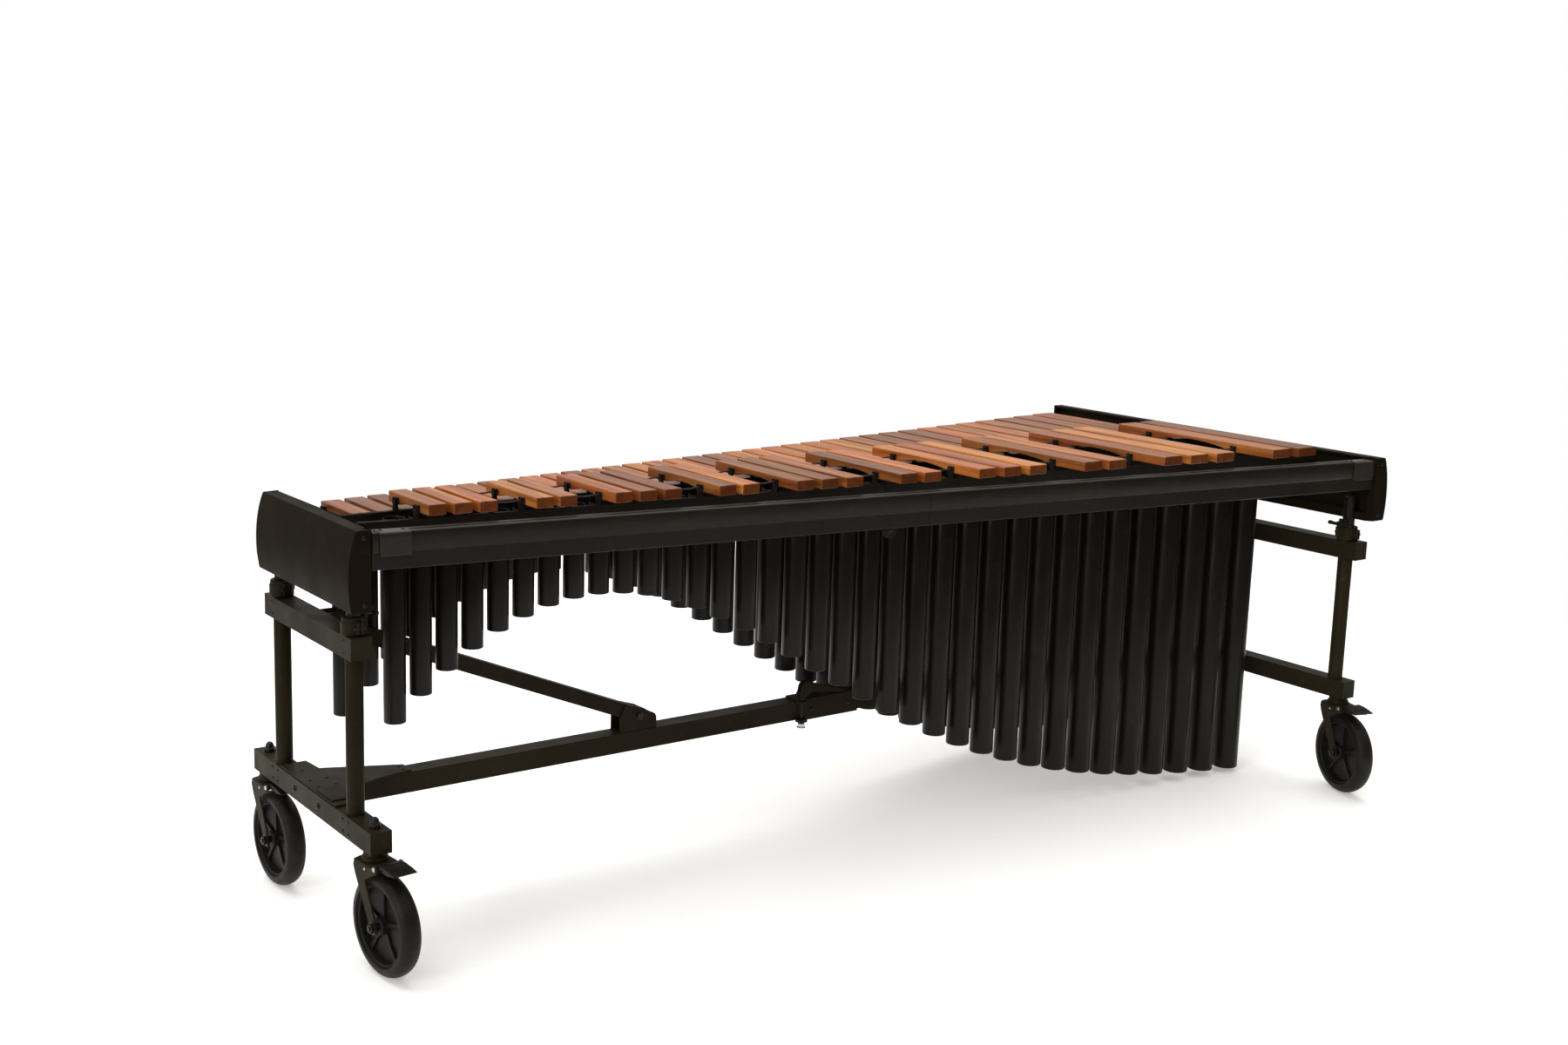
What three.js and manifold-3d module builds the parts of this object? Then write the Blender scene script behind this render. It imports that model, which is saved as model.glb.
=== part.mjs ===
// A five-octave concert marimba on a rolling, height-adjustable stand.
// Millimetres. +X runs to the low notes, -Y faces the audience, +Z is up.
// Every place is first given on a bench whose X starts at the high-note crossbeam's outer face
// and whose Y starts at that beam's audience end. The last lines centre the whole on its bounding box.
import * as THREE from "three";
import { mergeVertices } from "three/addons/utils/BufferGeometryUtils.js";
import Module from "manifold-3d";

const wasm = await Module();
wasm.setup();

const GAP = 0.3; // clearance between pieces that touch
const WELD = 1e-4;

// Stand
const BEAM = 44; // square tube
const WALL = 2.5;
const LOWER_TOP = 279;
const UPPER_TOP = 634;
const END_X = { high: 22, low: 2531 }; // the crossbeams' centre planes
const INWARD = { high: 1, low: -1 }; // the way from an end to the middle
const LOWER_Y = { high: [0, 590], low: [-266, 812] };
const UPPER_Y = { high: [80.5, 511.7], low: [-266, 805] };
const LEG_Y = { high: { front: 116, back: 473 }, low: { front: -223, back: 765 } };
const STEM_Y = { high: { front: 29, back: 556 }, low: { front: -238, back: 783 } };
const MIDDLE_X = 1276.5; // where the spine comes apart
const SEAM_X = 1240; // where the keyboard comes apart
const SPINE_Y = 308;
const LEG = { outer: 17.5, inner: 15.4, top: 660 };
const ROD = { outer: 14.5, inner: 12, bottom: 380, top: 745, pinZ: 677, holes: [704, 731], holeR: 4 };
const COLLAR = { r: 25, bore: 17.8, top: 669, lug: 31 };
const PIN = { r: 4, hub: 7.5, grip: 33, tab: [18, 25], tabTop: 688, bore: 4.5 };

// Keyboard
const PANEL = { inner: 24.7, top: 848, bottom: 692, outerTop: -5.5, bulge: -23, outerBottom: -16 };
const PANEL_WALL = { front: 22, back: 7, floor: 16, top: 6 };
const POCKET_X = 3; // the floor of an end board's pocket, which the inner rails run up to
const PANEL_Y = { high: [37, 496.7], low: [-293.7, 800] };
const FRONT_RAIL = { top: 842.5, crease: 804, bottom: 770.5, depth: 34, recess: 4 };
const RAIL_LATCH = { x: 1150, stem: 8, wing: 19, thick: 7 };
const BAR = { count: 36, x0: 77.1, gapHigh: 12.2, gapLow: 16, thick: 22, arch: 12 };
const PITCH = { first: 53.7, grow: 5.2, bend: 30.8 }; // spacing of the naturals, high to low
const TOP_Z = { natural: 835.5, accidental: 872 };
const SLIM = 0.93; // an accidental's width against its neighbours'
const SPREAD = 3; // the outer accidentals of a group stand this much nearer their group
const ROW_Y = {
  naturalNear: line(240, 228),
  naturalFar: line(396, 772),
  accidentalNear: line(120, -217),
  accidentalFar: line(271, 318),
};
const RAIL_Y = {
  front: line(36, -291),
  accidental: line(153, -97),
  accidentalInner: line(232, 198),
  naturalInner: line(274, 349),
  natural: line(376, 650),
};
const NODE_RAIL = { thick: 10, high: 34, drop: 10 };
const POST = { x: 7, y: 9, clear: 2.6 };
const CORD_R = 1.8;

// Resonators
const BANK_Y = { front: line(181, -29), back: line(348, 480) };
const TUBE = { rHigh: 22.2, rLow: 31.5, growFrom: 700, growTo: 2300, wall: 1.6, sides: 8 };
const MOUTH_Z = { front: 838, back: 802 };
const ARCH = { peak: 8, top: 648, fall: 3.4, floor: -6, spread: 13.8 };
const STRIP = { thick: 3, bottom: 744, top: 768, endX: 30 };

// Casters
const WHEEL = { r: 100.6, halfWidth: 21.5, trail: 41, rimInner: 80, hub: 17, bore: 7, spokes: 5, web: 5 };
const FORK = { cup: 24, cupTop: LOWER_TOP - BEAM - GAP, crownTop: 224, crown: 216, gap: 26, plate: 4 };
const PEDAL = { pivotX: 46, pivotZ: 217, pin: 3 };
const CASTER_TURN = { high: { front: -84, back: -88 }, low: { front: -109, back: -100 } };

const BLACK = { color: 0x1f1c19, roughness: 0.45, metalness: 0.2 };
const STEEL = { color: 0xb9b6ae, roughness: 0.3, metalness: 0.9 };
const WOOD = { color: 0xa8562c, roughness: 0.45, metalness: 0 };
const RUBBER = { color: 0x1a1918, roughness: 0.7, metalness: 0 };
const ENDS = ["high", "low"];
const SIDES = ["front", "back"];

const marimba = new THREE.Group();
marimba.name = "marimba";
const bench = new THREE.Group();
marimba.add(bench);

// A straight line across the instrument, from its value at x = 0 to its value at the far end.
function line(atHigh, atLow) {
  return (x) => atHigh + ((atLow - atHigh) * x) / 2551;
}

function toSolid(geometry) {
  const flat = geometry.index ? geometry.toNonIndexed() : geometry;
  const bare = new THREE.BufferGeometry();
  bare.setAttribute("position", flat.getAttribute("position"));
  const welded = mergeVertices(bare, WELD);
  const mesh = new wasm.Mesh({
    numProp: 3,
    vertProperties: welded.attributes.position.array,
    triVerts: new Uint32Array(welded.index.array),
  });
  return new wasm.Manifold(mesh);
}

function toGeometry(solid) {
  const mesh = solid.getMesh();
  const geometry = new THREE.BufferGeometry();
  geometry.setAttribute("position", new THREE.BufferAttribute(mesh.vertProperties, 3));
  geometry.setIndex(new THREE.BufferAttribute(mesh.triVerts, 1));
  return geometry;
}

function join(...pieces) {
  return toGeometry(pieces.map(toSolid).reduce((sum, piece) => sum.add(piece)));
}

function cut(body, ...tools) {
  return toGeometry(tools.map(toSolid).reduce((rest, tool) => rest.subtract(tool), toSolid(body)));
}

function add(name, geometry, look, parent = bench) {
  const mesh = new THREE.Mesh(geometry, new THREE.MeshStandardMaterial(look));
  mesh.name = name;
  parent.add(mesh);
  return mesh;
}

function box([x0, x1], [y0, y1], [z0, z1]) {
  const made = new THREE.BoxGeometry(x1 - x0, y1 - y0, z1 - z0);
  return made.translate((x0 + x1) / 2, (y0 + y1) / 2, (z0 + z1) / 2);
}

function around(centre, half) {
  return [centre - half, centre + half];
}

function ordered(a, b) {
  return [Math.min(a, b), Math.max(a, b)];
}

// A prism with an outline in X and Y.
function plan(shape, [z0, z1], curveSegments = 6) {
  const options = { depth: z1 - z0, bevelEnabled: false, curveSegments };
  return new THREE.ExtrudeGeometry(shape, options).translate(0, 0, z0);
}

// A prism with an outline in X and Z, from y0 to y1.
function profileXZ(shape, [y0, y1], curveSegments = 6) {
  const options = { depth: y1 - y0, bevelEnabled: false, curveSegments };
  return new THREE.ExtrudeGeometry(shape, options).rotateX(Math.PI / 2).translate(0, y1, 0);
}

// A prism with an outline in Y and Z, from x0 to x1.
function profileYZ(shape, [x0, x1], curveSegments = 6) {
  const turn = new THREE.Matrix4().makeBasis(
    new THREE.Vector3(0, 1, 0),
    new THREE.Vector3(0, 0, 1),
    new THREE.Vector3(1, 0, 0),
  );
  const options = { depth: x1 - x0, bevelEnabled: false, curveSegments };
  return new THREE.ExtrudeGeometry(shape, options).applyMatrix4(turn).translate(x0, 0, 0);
}

function outline(points) {
  return new THREE.Shape(points.map(([u, v]) => new THREE.Vector2(u, v)));
}

function rod(x, y, r, [z0, z1], sides = 16) {
  const made = new THREE.CylinderGeometry(r, r, z1 - z0, sides);
  return made.rotateX(Math.PI / 2).translate(x, y, (z0 + z1) / 2);
}

function rodAlongX([x0, x1], y, z, r, sides = 12) {
  const made = new THREE.CylinderGeometry(r, r, x1 - x0, sides);
  return made.rotateZ(Math.PI / 2).translate((x0 + x1) / 2, y, z);
}

function rodAlongY(x, [y0, y1], z, r, sides = 12) {
  return new THREE.CylinderGeometry(r, r, y1 - y0, sides).translate(x, (y0 + y1) / 2, z);
}

// A flat bar between two stations of a line, its ends square to X.
function railBetween([x0, x1], route, [back, front], z) {
  const corners = [
    [x0, route(x0) + back],
    [x1, route(x1) + back],
    [x1, route(x1) + front],
    [x0, route(x0) + front],
  ];
  return plan(outline(corners), z);
}

// A strip on edge that follows a route through the given stations.
function ribbon(stations, route, half, z) {
  const near = stations.map((x) => [x, route(x) - half]);
  const far = stations.map((x) => [x, route(x) + half]).reverse();
  return plan(outline([...near, ...far]), z);
}

// ---- stand ----

// A square crossbeam along Y, closed at its audience end and open at the other.
function crossbeam(end, [y0, y1], top) {
  const x = around(END_X[end], BEAM / 2);
  const hollow = around(END_X[end], BEAM / 2 - WALL);
  const inside = box(hollow, [y0 + WALL, y1 + WALL], [top - BEAM + WALL, top - WALL]);
  return cut(box(x, [y0, y1], [top - BEAM, top]), inside);
}

// A caster's nut shows on top of the beam unless the leg stands over it.
function lowerCrossbeam(end) {
  const showing = SIDES.filter((side) => Math.abs(LEG_Y[end][side] - STEM_Y[end][side]) > BEAM);
  const nuts = showing.map((side) => {
    return rod(END_X[end], STEM_Y[end][side], 9, [LOWER_TOP - WALL, LOWER_TOP + 12], 12);
  });
  return join(crossbeam(end, LOWER_Y[end], LOWER_TOP), ...nuts);
}

// The upper crossbeam has a bore for each leg and two ears that hold the brace's upper end.
function upperCrossbeam(end) {
  const bores = SIDES.map((side) => {
    return rod(END_X[end], LEG_Y[end][side], LEG.outer + GAP, [UPPER_TOP - 2 * BEAM, UPPER_TOP + BEAM]);
  });
  const face = END_X[end] + (INWARD[end] * BEAM) / 2;
  const reach = ordered(face - INWARD[end], face + INWARD[end] * 34);
  const ears = [-1, 1].map((way) => {
    return box(reach, around(SPINE_Y + way * 19, 2), [UPPER_TOP - BEAM, UPPER_TOP]);
  });
  return join(cut(crossbeam(end, UPPER_Y[end], UPPER_TOP), ...bores), ...ears);
}

function legTube(end, side) {
  const y = LEG_Y[end][side];
  const span = [LOWER_TOP + GAP, LEG.top];
  return cut(rod(END_X[end], y, LEG.outer, span), rod(END_X[end], y, LEG.inner, [0, LEG.top + BEAM]));
}

// A plate on the crossbeam that narrows to the spine's width: hollow on the audience side, straight behind.
function gussetPlate(end) {
  const [front, back, corner] = [166, 450, 392];
  const way = INWARD[end];
  const outer = END_X[end] - way * (BEAM / 2 - 2);
  const inner = END_X[end] + (way * BEAM) / 2;
  const tip = END_X[end] + way * 200;
  const half = BEAM / 2 - 2;
  const shape = new THREE.Shape();
  shape.moveTo(outer, front);
  shape.lineTo(inner, front);
  shape.bezierCurveTo(inner + way * 14, SPINE_Y - 60, inner + way * 60, SPINE_Y - half - 16, tip, SPINE_Y - half);
  shape.lineTo(tip, SPINE_Y + half);
  shape.lineTo(inner + way * 20, corner);
  shape.lineTo(inner + way * 15, back);
  shape.lineTo(outer, back);
  return plan(shape, [LOWER_TOP + GAP, LOWER_TOP + 4], 8);
}

const BRACE = { pivot: 500, pivotZ: 312, topReach: 30, topZ: 609, half: 16, wall: 2, bolt: 6, bore: 6.6 };

function braceEnds(end) {
  const way = INWARD[end];
  const pivotX = MIDDLE_X - way * BRACE.pivot;
  return { pivotX, topX: END_X[end] + way * BRACE.topReach };
}

// Half the spine, with two cheek plates on top that carry the brace's pivot.
function spineBeam(end) {
  const way = INWARD[end];
  const near = END_X[end] + way * (BEAM / 2 + GAP);
  const x = ordered(near, MIDDLE_X - way * GAP);
  const y = around(SPINE_Y, BEAM / 2);
  const tube = cut(
    box(x, y, [LOWER_TOP - BEAM, LOWER_TOP]),
    box([x[0] - 1, x[1] + 1], around(SPINE_Y, BEAM / 2 - WALL), [LOWER_TOP - BEAM + WALL, LOWER_TOP - WALL]),
  );
  const { pivotX } = braceEnds(end);
  const cheek = outline([
    [pivotX - way * 50, LOWER_TOP - 1],
    [pivotX - way * 50, LOWER_TOP + 34],
    [pivotX - way * 35, LOWER_TOP + 64],
    [pivotX + way * 10, LOWER_TOP + 49],
    [pivotX + way * 41, LOWER_TOP + 33],
    [pivotX + way * 45, LOWER_TOP + 24],
    [pivotX + way * 45, LOWER_TOP - 1],
  ]);
  const cheeks = [-1, 1].map((side) => {
    const plate = profileXZ(cheek, around(SPINE_Y + side * 19, 1.5));
    const bore = rodAlongY(pivotX, around(SPINE_Y + side * 19, 4), BRACE.pivotZ, BRACE.bore);
    return cut(plate, bore);
  });
  return join(tube, ...cheeks);
}

// A square brace from its pivot on the spine to the upper crossbeam's ears.
function brace(end) {
  const { pivotX, topX } = braceEnds(end);
  const along = new THREE.Vector2(topX - pivotX, BRACE.topZ - BRACE.pivotZ);
  const length = along.length();
  const hollow = around(0, BRACE.half - BRACE.wall);
  const body = box([-24, length - 4], around(0, BRACE.half), around(0, BRACE.half));
  const tube = cut(body, box([-26, length], hollow, hollow));
  const made = join(tube, rodAlongY(0, around(0, 25), 0, BRACE.bolt));
  made.rotateY(-along.angle());
  return made.translate(pivotX, SPINE_Y, BRACE.pivotZ);
}

const SLEEVE = { x: [1217, 1396], wall: 3 };
const LATCH = { x: 1221, y: SPINE_Y - BEAM / 2 - SLEEVE.wall - 8, rod: 4, pivotZ: 300, pin: 3, eye: 7 };

// A square sleeve that bridges the spine's two halves, with two lugs for the latch rod.
function spineSleeve() {
  const inner = BEAM / 2 + GAP;
  const outer = inner + SLEEVE.wall;
  const middleZ = LOWER_TOP - BEAM / 2;
  const tube = cut(
    box(SLEEVE.x, around(SPINE_Y, outer), around(middleZ, outer)),
    box([SLEEVE.x[0] - 1, SLEEVE.x[1] + 1], around(SPINE_Y, inner), around(middleZ, inner)),
  );
  const lugs = [232, 276].map((z) => {
    const lug = box(around(LATCH.x, 11), [LATCH.y - 9, SPINE_Y - outer + 1], [z, z + 7]);
    return cut(lug, rod(LATCH.x, LATCH.y, LATCH.rod + GAP, [z - 1, z + 8], 12));
  });
  return join(tube, ...lugs);
}

// The rod hangs from the lever's pin by an eye and pulls the sleeve tight with its nut.
function latchRod() {
  const shaft = rod(LATCH.x, LATCH.y, LATCH.rod, [214, LATCH.pivotZ - 5], 12);
  const nut = rod(LATCH.x, LATCH.y, 9, [218, 231], 6);
  const eye = rodAlongY(LATCH.x, around(LATCH.y, 4), LATCH.pivotZ, LATCH.eye);
  const bore = rodAlongY(LATCH.x, around(LATCH.y, 5), LATCH.pivotZ, LATCH.pin + 0.5, 8);
  return cut(join(shaft, nut, eye), bore);
}

// The cam lever lies along the spine when shut and turns up to open.
function latchLever() {
  const shape = new THREE.Shape();
  shape.moveTo(0, -10.5);
  shape.absarc(0, 0, 11, -Math.PI / 2, Math.PI * 0.75, true);
  shape.quadraticCurveTo(0, 34, 26, 26);
  shape.quadraticCurveTo(60, 12, 120, -1);
  shape.lineTo(122, -8);
  shape.quadraticCurveTo(60, 0, 24, 4);
  const slot = box([-14, 13], around(0, 4.5), [-14, 14]);
  const pin = rodAlongY(0, around(0, 8), 0, LATCH.pin, 8);
  const lever = join(cut(profileXZ(shape, around(0, 9), 4), slot), pin);
  return lever.translate(LATCH.x, LATCH.y, LATCH.pivotZ);
}

// The collar clamps the leg above the beam. Its tab holds the wing screw that grips the rod.
function heightCollar(end, side) {
  const x = END_X[end];
  const y = LEG_Y[end][side];
  const ring = rod(x, y, COLLAR.r, [UPPER_TOP + GAP, COLLAR.top]);
  const lugs = box(around(x, 7), around(y, COLLAR.lug), [UPPER_TOP + 5, UPPER_TOP + 29]);
  const bore = rod(x, y, COLLAR.bore, [UPPER_TOP - 1, LEG.top + GAP]);
  const throat = rod(x, y, ROD.outer + GAP, [UPPER_TOP, COLLAR.top + 1]);
  const tabX = ordered(x + INWARD[end] * PIN.tab[0], x + INWARD[end] * PIN.tab[1]);
  const tab = box(tabX, around(y, 10), [UPPER_TOP + 10, PIN.tabTop]);
  const thread = rodAlongX([tabX[0] - 1, tabX[1] + 1], y, ROD.pinZ, PIN.bore, 8);
  return cut(join(ring, lugs, tab), bore, throat, thread);
}

// The telescoping rod that carries the keyboard, drilled with a row of height marks.
function heightRod(end, side) {
  const x = END_X[end];
  const y = LEG_Y[end][side];
  const body = rod(x, y, ROD.outer, [ROD.bottom, ROD.top]);
  const inside = rod(x, y, ROD.inner, [ROD.bottom - 1, ROD.top - 4]);
  const holes = ROD.holes.map((z) => rodAlongX(around(x, ROD.outer + 5), y, z, ROD.holeR, 6));
  return cut(body, inside, ...holes);
}

// A winged screw in the collar's tab, on the instrument's inner side, that presses on the rod.
function heightKnob(end, side) {
  const way = INWARD[end];
  const x = END_X[end];
  const y = LEG_Y[end][side];
  const face = x + way * (PIN.tab[1] + 2 * GAP);
  const shaft = rodAlongX(ordered(x + way * (ROD.outer + 0.5), face + way * 2), y, ROD.pinZ, PIN.r, 8);
  const hub = rodAlongX(ordered(face, face + way * 14), y, ROD.pinZ, PIN.hub);
  const wings = box(around(face + way * 9, 3.5), around(y, PIN.grip), around(ROD.pinZ, 5));
  return join(shaft, hub, wings);
}

// ---- casters ----

function wheelGeometry() {
  const { r, halfWidth: w, rimInner } = WHEEL;
  const half = [
    [rimInner, w - 3],
    [r - 7, w],
    [r, w - 10],
  ];
  const mirrored = half.toReversed().map(([radius, side]) => [radius, -side]);
  const ring = [...half, ...mirrored, half[0]].reverse();
  const tyre = new THREE.LatheGeometry(ring.map(([a, b]) => new THREE.Vector2(a, b)), 24);
  const hub = new THREE.CylinderGeometry(WHEEL.hub, WHEEL.hub, 2 * w, 12);
  const spokes = Array.from({ length: WHEEL.spokes }, (_, i) => {
    const spoke = new THREE.BoxGeometry(rimInner - 8, 18, 9).translate(rimInner / 2 + 6, 0, 0);
    return spoke.rotateY((i * 2 * Math.PI) / WHEEL.spokes + 0.3);
  });
  const web = new THREE.CylinderGeometry(rimInner + 1, rimInner + 1, WHEEL.web, 24);
  const bore = new THREE.CylinderGeometry(WHEEL.bore, WHEEL.bore, 3 * w, 8);
  return cut(join(tyre, web, hub, ...spokes), bore);
}

// The fork's own frame has its stem on the Z axis and trails towards +X.
function forkGeometry() {
  const cup = rod(0, 0, FORK.cup, [FORK.crownTop - 1, FORK.cupTop]);
  const crown = box([-27, 40], around(0, FORK.gap + FORK.plate), [FORK.crown, FORK.crownTop]);
  const side = new THREE.Shape();
  side.moveTo(-27, FORK.crownTop);
  side.lineTo(-28, 196);
  side.lineTo(WHEEL.trail - 15, WHEEL.r - 2);
  side.absarc(WHEEL.trail, WHEEL.r, 15, Math.PI, 0, false);
  side.lineTo(10, 188);
  side.lineTo(40, 205);
  side.lineTo(PEDAL.pivotX + 8, PEDAL.pivotZ - 7);
  side.lineTo(PEDAL.pivotX + 8, FORK.crownTop);
  const plates = [-1, 1].map((way) => {
    const middle = way * (FORK.gap + FORK.plate / 2);
    return profileXZ(side, around(middle, FORK.plate / 2), 5);
  });
  const axle = rodAlongY(WHEEL.trail, around(0, FORK.gap + FORK.plate + 7), WHEEL.r, 6, 8);
  const hinge = rodAlongY(PEDAL.pivotX, around(0, 40), PEDAL.pivotZ, PEDAL.pin + 0.7, 8);
  return cut(join(cup, crown, ...plates, axle), hinge);
}

// The brake pedal is a flared plate hinged between the fork's cheeks, above the tyre.
function pedalGeometry() {
  const shape = outline([
    [PEDAL.pivotX - 4, PEDAL.pivotZ - 5],
    [PEDAL.pivotX - 4, PEDAL.pivotZ + 5],
    [PEDAL.pivotX + 20, PEDAL.pivotZ + 9],
    [PEDAL.pivotX + 64, PEDAL.pivotZ + 4],
    [PEDAL.pivotX + 62, PEDAL.pivotZ - 2],
    [PEDAL.pivotX + 18, PEDAL.pivotZ + 2],
  ]);
  const pin = rodAlongY(PEDAL.pivotX, around(0, FORK.gap + FORK.plate + 1), PEDAL.pivotZ, PEDAL.pin, 8);
  return join(profileXZ(shape, around(0, FORK.gap - 1)), pin);
}

function addCaster(end, side) {
  const swivel = new THREE.Group();
  swivel.position.set(END_X[end], STEM_Y[end][side], 0);
  swivel.rotation.z = THREE.MathUtils.degToRad(CASTER_TURN[end][side]);
  bench.add(swivel);
  const tag = `${side}_${end}`;
  add(`caster_fork_${tag}`, forkGeometry(), BLACK, swivel);
  add(`brake_pedal_${tag}`, pedalGeometry(), RUBBER, swivel);
  add(`wheel_${tag}`, wheelGeometry(), RUBBER, swivel).position.set(WHEEL.trail, 0, WHEEL.r);
}

// ---- keyboard frame ----

// A bulged end board with a pocket on its inner side, notched for the two height rods.
function endPanel(end) {
  const way = INWARD[end];
  const place = (x) => (end === "high" ? x : 2 * MIDDLE_X - x);
  const [y0, y1] = PANEL_Y[end];
  const shape = new THREE.Shape();
  shape.moveTo(place(PANEL.inner), PANEL.bottom);
  shape.lineTo(place(PANEL.inner), PANEL.top);
  shape.lineTo(place(PANEL.outerTop), PANEL.top);
  shape.bezierCurveTo(
    place(PANEL.bulge),
    PANEL.top - 40,
    place(PANEL.bulge - 4),
    PANEL.bottom + 50,
    place(PANEL.outerBottom),
    PANEL.bottom,
  );
  const pocketX = ordered(place(POCKET_X), place(PANEL.inner + 5));
  const pocketY = [y0 + PANEL_WALL.front, y1 - PANEL_WALL.back];
  const pocketZ = [PANEL.bottom + PANEL_WALL.floor, PANEL.top - PANEL_WALL.top];
  const pocket = box(pocketX, pocketY, pocketZ);
  const notchZ = [PANEL.bottom - 1, PANEL.bottom + PANEL_WALL.floor + 1];
  const notches = SIDES.map((side) => {
    const y = LEG_Y[end][side];
    const hole = rod(END_X[end], y, ROD.outer + GAP, notchZ);
    const mouth = ordered(END_X[end], END_X[end] + way * 20);
    return join(hole, box(mouth, around(y, ROD.outer + GAP), notchZ));
  });
  return cut(profileXZ(shape, [y0, y1], 8), pocket, ...notches);
}

// A half-round wing on a short stem, under the front rail, that locks its two halves.
function railLatchKnob() {
  const { x, stem, wing, thick } = RAIL_LATCH;
  const y = RAIL_Y.front(x) + FRONT_RAIL.depth / 2;
  const top = FRONT_RAIL.bottom - GAP;
  const shape = new THREE.Shape();
  shape.absarc(0, 0, wing, Math.PI, 2 * Math.PI, false);
  const grip = profileXZ(shape, around(y, thick / 2), 8).translate(x, 0, top - 3);
  return join(grip, rod(x, y, stem, [top - 8, top], 12));
}

// A half's stretch in X, from an end board to the seam.
function halfSpan(end, start, seam = SEAM_X) {
  return end === "high" ? [start + GAP, seam - GAP] : [seam + GAP, 2 * MIDDLE_X - start - GAP];
}

// The audience-side rail: a full upper band, a slightly set-back lower band and an end hook.
function frontRail(end) {
  const span = halfSpan(end, PANEL.inner);
  const { top, crease, bottom, depth, recess } = FRONT_RAIL;
  const upper = railBetween(span, RAIL_Y.front, [0, depth], [crease, top]);
  const lower = railBetween(span, RAIL_Y.front, [recess, depth - 6], [bottom, crease + 1]);
  const hookX = end === "high" ? [span[0] + 12, span[0] + 72] : [span[1] - 72, span[1] - 12];
  const hook = railBetween(hookX, RAIL_Y.front, [-4, 3], [crease - 6, top - 4]);
  return join(upper, lower, hook);
}

const cells = naturalCells();

// Left edges and widths of the cells that the naturals stand in, from C7 down to C2.
function naturalCells() {
  const found = [];
  let x = BAR.x0;
  for (let i = 0; i < BAR.count; i++) {
    const t = i / (BAR.count - 1);
    const cell = PITCH.first + PITCH.grow * t + PITCH.bend * t * t;
    const gap = THREE.MathUtils.lerp(BAR.gapHigh, BAR.gapLow, t);
    found.push({ centre: x + cell / 2, width: cell - gap });
    x += cell;
  }
  return found;
}

// Accidentals stand between naturals, except where a scale has a half step.
function accidentals() {
  const found = [];
  for (let i = 0; i < BAR.count - 1; i++) {
    const shift = { 1: SPREAD, 2: 0, 3: -SPREAD, 5: SPREAD, 6: -SPREAD }[i % 7];
    if (shift === undefined) continue;
    const centre = (cells[i].centre + cells[i + 1].centre) / 2 + shift;
    const width = (SLIM * (cells[i].width + cells[i + 1].width)) / 2;
    found.push({ index: i, centre, width });
  }
  return found;
}

function bar({ centre, width }, near, far, top) {
  const y0 = near(centre);
  const y1 = far(centre);
  const length = y1 - y0;
  const bottom = top - BAR.thick;
  const lift = (BAR.arch * length) / 520 + 3;
  const shape = outline([
    [y0, bottom],
    [y0 + length * 0.28, bottom],
    [y0 + length * 0.38, bottom + lift],
    [y1 - length * 0.38, bottom + lift],
    [y1 - length * 0.28, bottom],
    [y1, bottom],
    [y1, top],
    [y0, top],
  ]);
  return profileYZ(shape, around(centre, width / 2));
}

// One row's bars strung on its two suspension cords.
function strungBars(bars, row, cords) {
  const top = TOP_Z[row];
  const solids = bars.map((one) => bar(one, ROW_Y[`${row}Near`], ROW_Y[`${row}Far`], top));
  const first = bars[0].centre;
  const last = bars[bars.length - 1].centre;
  const strands = cords.map((route) => {
    const start = new THREE.Vector3(first, route(first), top - BAR.thick / 2);
    const stop = new THREE.Vector3(last, route(last), top - BAR.thick / 2);
    const strand = new THREE.CylinderGeometry(CORD_R, CORD_R, start.distanceTo(stop), 4);
    const along = stop.clone().sub(start).normalize();
    strand.applyQuaternion(new THREE.Quaternion().setFromUnitVectors(new THREE.Vector3(0, 1, 0), along));
    return strand.translate(...start.lerp(stop, 0.5).toArray());
  });
  return join(...solids, ...strands);
}

// A rail under a row's node line, with a post in each gap between that row's bars.
function nodeRail(end, route, row) {
  const top = TOP_Z[row] - BAR.thick - NODE_RAIL.drop;
  const [x0, x1] = halfSpan(end, POCKET_X);
  const half = NODE_RAIL.thick / 2;
  const pieces = [railBetween([x0, x1], route, [-half, half], [top - NODE_RAIL.high, top])];
  const postTop = TOP_Z[row] - BAR.thick / 2 - POST.clear;
  for (const x of postStations(row)) {
    if (x < x0 + POST.x || x > x1 - POST.x) continue;
    pieces.push(box(around(x, POST.x / 2), around(route(x), POST.y / 2), [top - 1, postTop]));
  }
  return pieces;
}

function postStations(row) {
  const bars = row === "natural" ? cells : accidentals();
  const found = [];
  bars.slice(1).forEach((one, i) => {
    const before = bars[i];
    const left = before.centre + before.width / 2;
    const right = one.centre - one.width / 2;
    if (right - left < 40) found.push((left + right) / 2);
    else found.push(left + POST.x, right - POST.x);
  });
  return found;
}

// The two inner rails of a half, tied into one ladder.
function centerRails(end) {
  const [x0, x1] = halfSpan(end, POCKET_X);
  const ties = [x0 + 6, (x0 + x1) / 2, x1 - 6].map((x) => {
    const y = [RAIL_Y.accidentalInner(x), RAIL_Y.naturalInner(x)];
    return box(around(x, 5), y, [778, 788]);
  });
  const lower = railBetween([x0, x1], RAIL_Y.accidentalInner, [-3, 3], [779, 810]);
  const inner = nodeRail(end, RAIL_Y.accidentalInner, "accidental");
  const outer = nodeRail(end, RAIL_Y.naturalInner, "natural");
  return join(...inner, lower, ...outer, ...ties);
}

// ---- resonators ----

// The closed lower ends follow an arch: short tubes high up, long ones at both ends.
function tubeBottom(station) {
  const d = station - ARCH.peak;
  if (d < 0) return ARCH.top - ARCH.fall * d * d;
  return ARCH.floor + (ARCH.top - ARCH.floor) * Math.exp(-((d / ARCH.spread) ** 2));
}

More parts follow.
